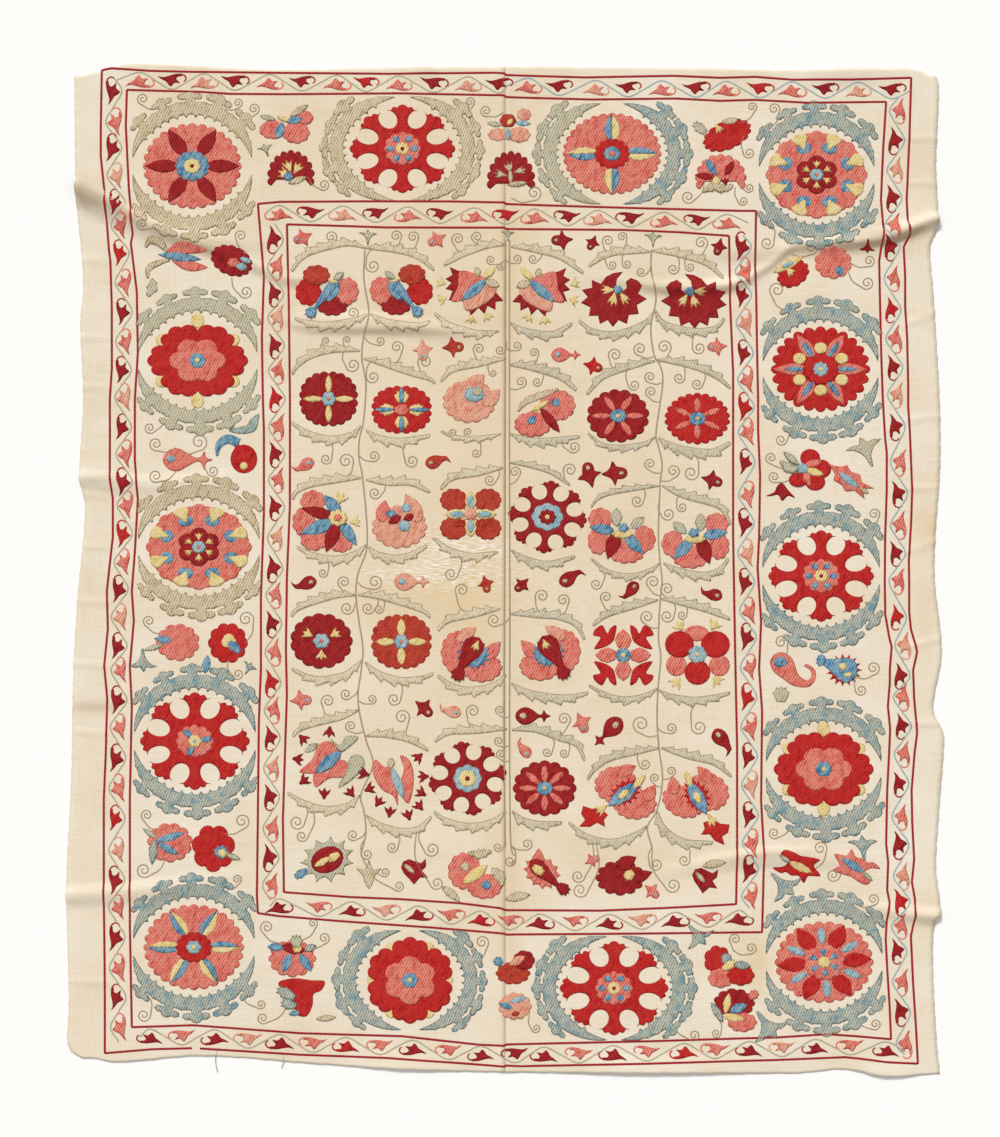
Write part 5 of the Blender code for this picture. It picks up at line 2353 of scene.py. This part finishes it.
BORDER_FLOWERS = (
    ("border_top_flowers", (
        Flower(286, 126, (
            Disc(28, 19, ROSE, 9, 0.1, -13, -4), Disc(28, 22, ROSE, 9, 0.1, 10, -7),
            Disc(17, 14, ROSE, 6, 0.1, 19, 8), lens(BLUE, -3, 3, -9, -13, 10),
            lens(BLUE, 0, 4, 17, 7, 8), lens(STRAW, -9, 9, 4, 5, 5),
            lens(BEIGE, 4, 9, 22, 21, 7), lens(GREY, -10, 6, -26, 10, 6),
        )),
        Flower(291, 177, (
            Fan(48, 27, CRIMSON, 112, 11, 0.12), crown(STRAW, 0, 0, -13, 6, 11),
            crown(STRAW, 0, 4, -5, 17, 10), crown(STRAW, 3, 3, 10, 14, 10),
            tuft(BLUE, -3, -4, -2, 5, 10), lens(BEIGE, 16, 0, -3, -7, 7),
        )),
        Flower(508, 129, (
            Disc(21, 13, SALMON, 8, 0.12, -10, -6), Disc(23, 16, SALMON, 8, 0.12, 11, -6),
            lens(PALE_BLUE, 0, 1, 0, -12, 6), Disc(17, 14, BRICK, 6, 0.1, 0, 8),
            lens(STRAW, -1, 4, 5, 10, 5), Disc(15, 13, SALMON, 7, 0.14, 16, 14),
            lens(PALE_BLUE, 7, 6, 23, 5, 6),
            lens(GREY, -6, 3, -21, 6, 6),
        )),
        Flower(511, 181, (
            Fan(49, 30, CRIMSON, 108, 11, 0.12), crown(BEIGE, -4, 5, -18, 8, 9),
            crown(BEIGE, 0, 6, -4, 20, 9), crown(BEIGE, 2, 8, 16, 12, 8),
            lens(BEIGE, 0, -5, -1, 12, 5), lens(BEIGE, 17, -2, -4, -4, 6),
        )),
        Flower(727, 135.5, (
            Disc(52, 29, SCARLET, 15, 0.1, turn=24), crown(STRAW, -11, 11, -6, 2, 9),
            lens(BEIGE, -6, 13, 12, 16, 7), tuft(GREY, -21, 2, -34, 13, 11),
        )),
        Flower(720.6, 179, (
            Fan(52, 25, ROSE, 118, 11, 0.1), lens(CRIMSON, -4, 1, -26, 4, 8),
            lens(BLUE, -4, 3, -15, 20, 8), lens(CRIMSON, 4, 3, 13, 18, 8),
            tuft(STRAW, -4, -7, -5, 3, 9), crown(CRIMSON, 5, -7, 4, 2, 9),
            Brush(((-18, -13), (-8, -8), (4, -10), (12, -6)), (1, 3, 3, 1), BEIGE, 3, 2.0),
        )),
    )),
    ("border_left_flowers", (
        Flower(181.8, 256.6, (
            Shape(((-14, 3), (-8, 12), (2, 15), (12, 12), (26, 6), (14, 3)), ROSE),
            Shape(((-10, -3), (0, -12), (12, -15), (26, -11), (15, -6), (6, -2)), ROSE),
            lens(BLUE, -24, 2, 20, -3, 9),
            Brush(((-14, 4), (-22, 14), (-32, 16), (-36, 9)), (1, 4, 4, 1), BEIGE),
            Brush(((-12, -4), (-22, -6), (-33, -12), (-34, -22)), (1, 3, 3.5, 1), BEIGE),
            Brush(((-30, -22), (-29, -30), (-34, -40)), (1, 5, 1), GREY, 3, 2.0),
        )),
        Flower(231.8, 261, (
            Disc(44, 30, CRIMSON, 14, 0.1, turn=-22), Disc(13, 10, ROSE, 6, 0.2, 2, -2),
            lens(PALE_BLUE, 4, -5, 16, -7, 8), lens(PALE_BLUE, 8, 3, 20, -2, 6),
        )),
        Flower(188, 459.8, (
            Shape(((-1, 0), (-0.8, 0.36), (-0.4, 0.46), (0, 0.26), (0.3, 0.1), (0.5, 0.12), (0.66, 0.34), (0.74, 0.1),
                   (1, 0), (0.74, -0.12), (0.66, -0.4), (0.5, -0.1), (0.3, -0.1), (0, -0.26), (-0.4, -0.46),
                   (-0.8, -0.36)), ROSE),
            Disc(0.34, 0.3, PALE_BLUE, 0, 0, -0.68, 0.04),
        ), size=25),
        Flower(244, 459, (
            Disc(27, 29, SCARLET, 0, 0, 0, 0), drop(SCARLET, -8, 15, 2, -4, 22),
            Brush(((-5, 16), (-16, 20), (-25, 14), (-27, 3)), (4.5, 4.5, 3.5, 0.8), BLUE),
            Disc(8, 8, STRAW, 0, 0, 0, -7),
            Shape(((-15, 29), (-4, 32), (3, 34), (7, 40), (15, 45), (14, 35), (11, 28), (1, 25), (-10, 26)), SEA),
        )),
        Flower(178, 642.4, (
            Disc(44, 38, ROSE, 11, 0.12, start=16), blade(BLUE, -7, 2, -24, 4, 8),
            lens(GREY, -14, -2, -34, -8, 6),
        )),
        Flower(228, 643, (
            Disc(40, 41, SCARLET, 10, 0.12), Disc(16, 15, STRAW, 3, 0.2, 1, 2, start=90),
            tuft(BLUE, 12, -9, 0, 2, 10), lens(BLUE, -20, -12, -23, -31, 9),
        )),
        Flower(170, 842.5, (
            Disc(46, 40, ROSE, 11, 0.12, start=10), lens(BLUE, -15, 1, 15, 10, 8),
            lens(BLUE, -13, 0, 9, -12, 8), lens(SEA, -15, 4, -18, -22, 9),
            lens(GREY, -12, 4, -27, 14, 6),
        )),
        Flower(213.5, 848, (
            Disc(44, 48, SCARLET, 7, 0.16, start=12, sharp=0.7), Disc(18, 16, BLUE, 9, 0.3, 8, -4, sharp=-0.9),
            Disc(9, 9, STRAW, 5, 0.2, 9, -5), lens(GREY, 12, -6, 27, -11, 6),
        )),
    )),
    ("border_right_flowers", (
        Flower(790.9, 271, (
            Disc(35, 26, SCARLET, 11, 0.12, 2, -3, turn=32), lens(STRAW, -18, -2, 12, 15, 10),
            lens(PALE_BLUE, -10, 3, 3, 9, 5), crown(STRAW, -5, 3, 3, -5, 9),
        )),
        Flower(833, 263, (
            Disc(38, 33, ROSE, 10, 0.11, start=20), tuft(BLUE, 8, -12, 4, -3, 9),
        )),
        Flower(811, 471, (
            Disc(20, 18, SCARLET, 0, 0, -1, 13), Disc(20, 19, SCARLET, 0, 0, 10, 2),
            Disc(20, 17, SCARLET, 0, 0, 4, -11), Disc(19, 14, SCARLET, 0, 0, -13, -9),
            lens(ROSE, -8, 5, 11, 10, 8), lens(ROSE, -7, -1, -1, -15, 8),
            lens(STRAW, -7, 2, 13, -4, 8), tuft(PALE_BLUE, -4, 1, -16, 5, 11),
            Brush(((-13, 2), (-22, 3), (-31, 10)), (2, 4, 0.8), GREY, 3, 2), lens(GREY, -12, 6, -28, 19, 7),
            Shape(((-45, -25), (-37, -21), (-34, -15), (-29, -12), (-23, -19), (-16, -27), (-23, -25), (-29, -30),
                   (-33, -24), (-39, -25)), CRIMSON),
        )),
        Flower(848.5, 480, jagged_tulip(ROSE, PALE_BLUE), -36),
        Flower(795, 671, (
            Shape(((-25, 10), (-19, 18), (-10, 18), (-2, 11), (3, -3), (11, -9), (16, -6), (15, 1), (9, 5), (12, 7),
                   (20, 1), (20, -9), (13, -16), (-1, -15), (-12, -8), (-22, 0)), ROSE),
            Disc(14, 11, BLUE, 7, 0.12, -15, 9), tuft(GREY, -14, -31, -14, -15, 17),
        )),
        Flower(841, 669, (
            Disc(36, 33, SCARLET, 15, 0.28, 3, -1, sharp=-0.9),
            drop(BLUE, -22, 9, 16, -5, 25), tuft(BLUE, -16, 8, -25, 10, 13),
            tuft(STRAW, -2, 4, 6, 1, 8), lens(STRAW, 2, -6, 12, -5, 5),
        )),
        Flower(798.5, 864.4, winged_tulip(SCARLET, STRAW)),
        Flower(854, 868, winged_tulip(ROSE, BLUE), 172),
    )),
    ("border_bottom_flowers", (
        Flower(292.4, 955.3, (
            Disc(48, 38, ROSE, 12, 0.12, 0, -3), lens(CRIMSON, -12, 9, 14, 5, 12),
            lens(BLUE, -8, 8, -25, 9, 9), lens(BLUE, -2, 2, -9, -17, 10),
            lens(BLUE, 7, 2, 19, -16, 9), tuft(STRAW, 5, 3, 5, 12, 10),
            tuft(GREY, 4, 8, 4, 21, 13), lens(SEA, 12, 5, 24, 10, 8),
        )),
        Flower(302.6, 996, (
            Shape(((-24, 14), (-8, 18), (8, 16), (22, 15), (19, 6), (11, 2), (10, -9), (4, -20), (-6, -18), (-8, -6),
                   (-19, 4)), SCARLET),
            tuft(SEA, -8, -2, -26, 8, 12), tuft(SEA, -6, -10, -22, -6, 11),
            lens(BLUE, -2, -16, -14, -18, 6), lens(BEIGE, 13, -23, 34, -21, 7),
        )),
        Flower(513, 968, (
            Disc(35, 23, BRICK, 10, 0.12, 0, -5), Disc(22, 20, CRIMSON, 7, 0.1, 11, 8),
            lens(SALMON, -4, 3, 12, 12, 9), tuft(BLUE, -11, 4, -19, 10, 10),
        )),
        Flower(515, 1006, (
            Disc(34, 28, SALMON, 11, 0.12), lens(BLUE, -16, 3, -2, -2, 7),
            lens(PALE_BLUE, -6, 4, 12, 9, 6), lens(BRICK, -4, -8, 5, -7, 6),
        )),
        Flower(728.5, 967, (
            Disc(28, 30, SCARLET, 7, 0.14, -11, 7), Disc(26, 20, ROSE, 8, 0.12, -8, -11),
            Disc(28, 21, SCARLET, 8, 0.12, 12, -8), tuft(SEA, 2, 2, -6, 14, 12),
            tuft(STRAW, -6, -2, 8, 6, 9), lens(SEA, 4, 3, 22, 1, 9),
        )),
        Flower(733, 1010, (
            Disc(42, 30, CRIMSON, 11, 0.12, 1, 7), Disc(30, 20, ROSE, 9, 0.12, 9, -12),
            lens(STRAW, -8, -4, -4, 17, 8), lens(STRAW, -12, -5, 12, -9, 8),
            lens(BLUE, -4, -2, 14, 6, 10), lens(SEA, -10, -12, -22, 8, 8),
            tuft(ROSE, 16, 12, 25, 19, 10),
        )),
    )),
)

# Single leaves of the border: column, row, direction in degrees, length and silk
LONE_LEAVES = (
    (143, 661, -88, 12, SEA), (783, 885, -45, 16, SEA), (863, 847, 95, 13, SEA),
    (697, 935, -50, 14, SEA), (767, 1026, -55, 17, SEA), (866, 451, 112, 16, GREY),
    (249, 668, 60, 7, SEA), (266, 150, 110, 7, GREY), (867, 247, -90, 7, CRIMSON),
)
FIELD_SPIRALS = (
    (331, 237, 6.5), (396, 236, 6), (413, 237, 6), (458, 239, 6.5), (477, 237, 6), (373, 266, 7.5), (491, 260, 5),
    (500, 267, 4), (353, 313, 6), (326, 341, 4), (347, 340, 4), (380, 341, 5), (397, 347, 6.5), (425, 362, 7.5),
    (479, 349, 6), (500, 350, 5), (353, 365, 7.5), (373, 377, 7), (493, 373, 4), (453, 433, 4.5), (468, 432, 4.5),
    (326, 459, 6), (346, 461, 8), (374, 456, 6), (412, 461, 7), (375, 493, 6.5), (490, 480, 6), (476, 453, 5),
    (323, 573, 5), (344, 582, 6.5), (375, 582, 8), (451, 574, 7), (462, 590, 7), (347, 608, 7), (368, 608, 6.5),
    (379, 609, 5), (494, 620, 7), (517, 259, 5), (533, 259, 5), (608, 241, 6), (622, 237, 5), (701, 243, 7),
    (612, 265, 5), (627, 264, 5), (641, 272, 5), (673, 269, 6), (690, 267, 5), (517, 346, 5), (534, 353, 5),
    (615, 355, 7), (640, 349, 7), (664, 347, 7.5), (699, 348, 7), (521, 382, 6), (537, 382, 5), (650, 377, 6),
    (634, 385, 6), (651, 392, 6), (679, 378, 6), (697, 384, 6), (574, 447, 6.5), (570, 470, 7), (515, 472, 6),
    (650, 464, 6), (673, 471, 7), (691, 473, 8), (637, 501, 6.5), (668, 514, 7), (682, 507, 5.5), (542, 596, 7),
    (563, 600, 6.5), (596, 584, 6), (606, 597, 6), (653, 582, 7), (667, 589, 7), (647, 617, 7), (667, 616, 7),
    (682, 615, 5), (328, 701, 7), (346, 694, 6), (372, 699, 5), (394, 699, 7), (351, 726, 6), (402, 717, 8),
    (473, 711, 7), (500, 710, 5), (499, 741, 5), (501, 754, 5), (297, 822, 8), (302, 836, 6), (353, 835, 6),
    (367, 854, 6), (392, 847, 6), (385, 872, 5), (399, 886, 5.5), (432, 849, 8), (437, 883, 7), (498, 847, 5),
    (510, 861, 6), (564, 719, 7), (641, 724, 9), (671, 728, 6), (699, 727, 8), (547, 752, 5), (564, 753, 5),
    (645, 764, 6), (655, 778, 5), (671, 771, 5), (527, 844, 6), (656, 864, 7), (684, 860, 6), (673, 885, 8),
    (578, 876, 7), (580, 890, 8),
)
BORDER_SPIRALS = (
    (143, 99, 6), (238, 103, 5), (254, 109, 6), (143, 225, 6), (241, 236, 6), (150, 428, 6), (246, 292, 7),
    (156, 444, 7), (199, 442, 9), (213, 471, 6), (156, 476, 7), (149, 621, 6), (246, 619, 8), (238, 674, 6),
    (147, 815, 6), (242, 821, 8), (144, 870, 8), (237, 879, 5), (267, 927, 7), (144, 1015, 7), (261, 1004, 5),
    (263, 1018, 6), (313, 923, 5), (324, 938, 6), (482, 942, 7), (324, 185, 6), (470, 102, 5), (486, 111, 6),
    (534, 193, 8), (688, 197, 7), (752, 107, 5), (774, 109, 6), (749, 153, 6), (749, 188, 5), (743, 201, 5),
    (767, 243, 7), (811, 248, 7), (777, 290, 8), (869, 261, 6), (867, 283, 7), (781, 440, 6), (771, 458, 6),
    (774, 477, 6), (874, 514, 6), (781, 642, 7), (873, 668, 7), (861, 690, 6), (774, 833, 6), (820, 848, 7),
    (833, 875, 7), (873, 899, 6), (735, 939, 6), (751, 948, 6), (875, 1024, 6), (536, 1028, 5), (694, 1035, 6),
    (716, 1033, 5),
)
LOOSE_THREADS = (((217, 1051), (215.5, 1060), (217.5, 1072)), ((283, 1054), (284, 1061), (281.5, 1068)))


@dataclass
class CentralField:
    """The flowers, arching leaves, stems and small motifs inside the inner border."""

    cloth: ClothForm

    # Half the usual width of an arching leaf and the width of a stem, in pixels, and the leaves in one piece
    ARCH_WIDTH = 3.0
    STEM_WIDTH = 2.0
    LEAVES_IN_PIECE = 6

    # Pixels between the places that a tendril can grow out of, and its wished length in radii
    ROOT_STEP = 4.0
    TENDRIL_REACH = 2.3

    def build(self) -> None:
        """Make each row of flowers, and the leaves, stems and small motifs between them."""
        for name, flowers in FIELD:
            for k, flower in enumerate(flowers):
                work = StitchWork(f"{name}_flower_{k + 1}", self.cloth)
                flower.stitch(work)
                work.finished()
        group = self.LEAVES_IN_PIECE
        for k in range(0, len(ARCHES), group):
            leaves = StitchWork(f"field_arch_leaves_{k // group + 1}", self.cloth)
            for n, places in enumerate(ARCHES[k : k + group], k):
                silk = DUSK if n % 6 > 2 and n > 5 else VEIL
                Arch(places, silk, n % 12 < 6, ARCH_WIDTHS.get(n, self.ARCH_WIDTH)).stitch(leaves)
            leaves.finished()
        stems = StitchWork("field_stems", self.cloth)
        for places in STEMS:
            stems.cord(PAGE, rounded(paged(places), closed=False, steps=6), TENDRIL, self.STEM_WIDTH)
        stems.finished()
        curls = StitchWork("field_tendrils", self.cloth)
        lines = STEMS + ARCHES
        roots = np.concatenate([evenly(rounded(places, closed=False), self.ROOT_STEP) for places in lines])
        Tendril.lay_all(curls, FIELD_SPIRALS, roots, self.TENDRIL_REACH)
        curls.finished()
        for label, chosen in (("red", "red_thread"), ("pink", "pink_thread"), ("leaf", "leaf_thread")):
            small = StitchWork(f"small_{label}_motifs", self.cloth)
            for sprinkle in SPRINKLES:
                if sprinkle.silk.value.slot == chosen:
                    spot = Spot(sprinkle.column, sprinkle.row, sprinkle.angle, size=sprinkle.length)
                    shape = np.array(sprinkle.drawn.value)
                    small.fill(spot, rounded(shape, steps=2), sprinkle.silk)
                    if chosen != "leaf_thread":
                        eye = BEIGE if chosen == "red_thread" else PALE_BLUE
                        Disc(0.4, 0.34, eye, 0, 0, -0.55, 0.02).stitch(small, spot)
            small.finished()


@dataclass
class BorderField:
    """The small flowers, single leaves and tendrils between the medallions, and two loose threads."""

    cloth: ClothForm

    # How far from the middle of a small flower and of a medallion its tendrils start, in pixels
    FLOWER_RIM = 17.0
    MEDALLION_RIM = 66.0

    # The wished length of a tendril in radii, and the width of a loose thread in pixels
    TENDRIL_REACH = 3.0
    LOOSE_WIDTH = 0.6

    def build(self) -> None:
        """Make each side's flowers, the leaves and the tendrils."""
        for name, flowers in BORDER_FLOWERS:
            work = StitchWork(name, self.cloth)
            for flower in flowers:
                flower.stitch(work)
            work.finished()
        leaves = StitchWork("border_lone_leaves", self.cloth)
        for column, row, angle, length, silk in LONE_LEAVES:
            spot = Spot(column, row, angle, size=length)
            leaves.fill(spot, rounded(LILY.value, steps=2), silk)
        leaves.finished()
        curls = StitchWork("border_tendrils", self.cloth)
        rims = [(flower.spot, self.FLOWER_RIM) for _, flowers in BORDER_FLOWERS for flower in flowers]
        rims += [(medallion.flower.spot, self.MEDALLION_RIM) for medallion in MEDALLIONS]
        around = [(math.cos(turn), math.sin(turn)) for turn in np.arange(24) * math.pi / 12]
        roots = np.array([(at.column + far * x, at.row + far * y) for at, far in rims for x, y in around])
        Tendril.lay_all(curls, BORDER_SPIRALS, roots, self.TENDRIL_REACH)
        for places in LOOSE_THREADS:
            curls.cord(PAGE, rounded(paged(places), closed=False), TENDRIL, self.LOOSE_WIDTH)
        curls.finished()


@dataclass
class Studio:
    """A pale floor, soft light and a camera that looks straight down as the photograph does."""

    height: float = 4.832
    floor_half: float = 40.0
    floor_drop: float = 0.0004
    floor_colour: tuple = (0.97, 0.97, 0.96, 1.0)
    light_from: tuple = (-0.35, 0.85, 0.85)
    light_strength: float = 2.4
    light_angle: float = 14.0
    sky_colour: tuple = (1.0, 0.99, 0.97, 1.0)
    sky_strength: float = 0.5
    focal_length: float = 85.0
    sensor: float = 36.0

    def build(self) -> None:
        """Make the floor, the light, the sky and the camera."""
        scene = bpy.context.scene
        mesh = bpy.data.meshes.new("floor")
        side = self.floor_half
        mesh.from_pydata([(-side, -side, 0), (side, -side, 0), (side, side, 0), (-side, side, 0)], [], [(0, 1, 2, 3)])
        floor = bpy.data.objects.new("floor", mesh)
        floor.location.z = -self.floor_drop
        board = ShaderBoard("floor_paper", 0.95, 0.0, 0.1)
        board.shader.inputs["Base Color"].default_value = self.floor_colour
        mesh.materials.append(board.material)
        scene.collection.objects.link(floor)
        sun = bpy.data.lights.new("window_light", "SUN")
        sun.energy = self.light_strength
        sun.angle = math.radians(self.light_angle)
        lamp = bpy.data.objects.new("window_light", sun)
        lamp.rotation_euler = Vector(self.light_from).to_track_quat("Z", "Y").to_euler()
        scene.collection.objects.link(lamp)
        world = bpy.data.worlds.new("studio")
        world.use_nodes = True
        background = world.node_tree.nodes["Background"]
        background.inputs["Color"].default_value = self.sky_colour
        background.inputs["Strength"].default_value = self.sky_strength
        scene.world = world
        scene.view_settings.view_transform = "Standard"
        glass = bpy.data.cameras.new("photo_camera")
        glass.lens = self.focal_length
        glass.sensor_width = self.sensor
        camera = bpy.data.objects.new("photo_camera", glass)
        middle = on_cloth((PHOTO_WIDTH / 2, PHOTO_HEIGHT / 2))[0]
        camera.location = (middle[0], middle[1], self.height)
        scene.collection.objects.link(camera)
        scene.camera = camera


def main() -> None:
    """Build the dressed textile and report each piece."""
    cloth = ClothForm()
    GroundCloth(cloth).build()
    for line in (OUTER_OUTER, OUTER_INNER, INNER_OUTER, INNER_INNER):
        line.build(cloth)
    for vine in (OUTER_VINE, INNER_VINE):
        vine.build(cloth)
    for medallion in MEDALLIONS:
        medallion.build(cloth)
    CentralField(cloth).build()
    BorderField(cloth).build()
    Studio().build()


if __name__ == "__main__":
    main()
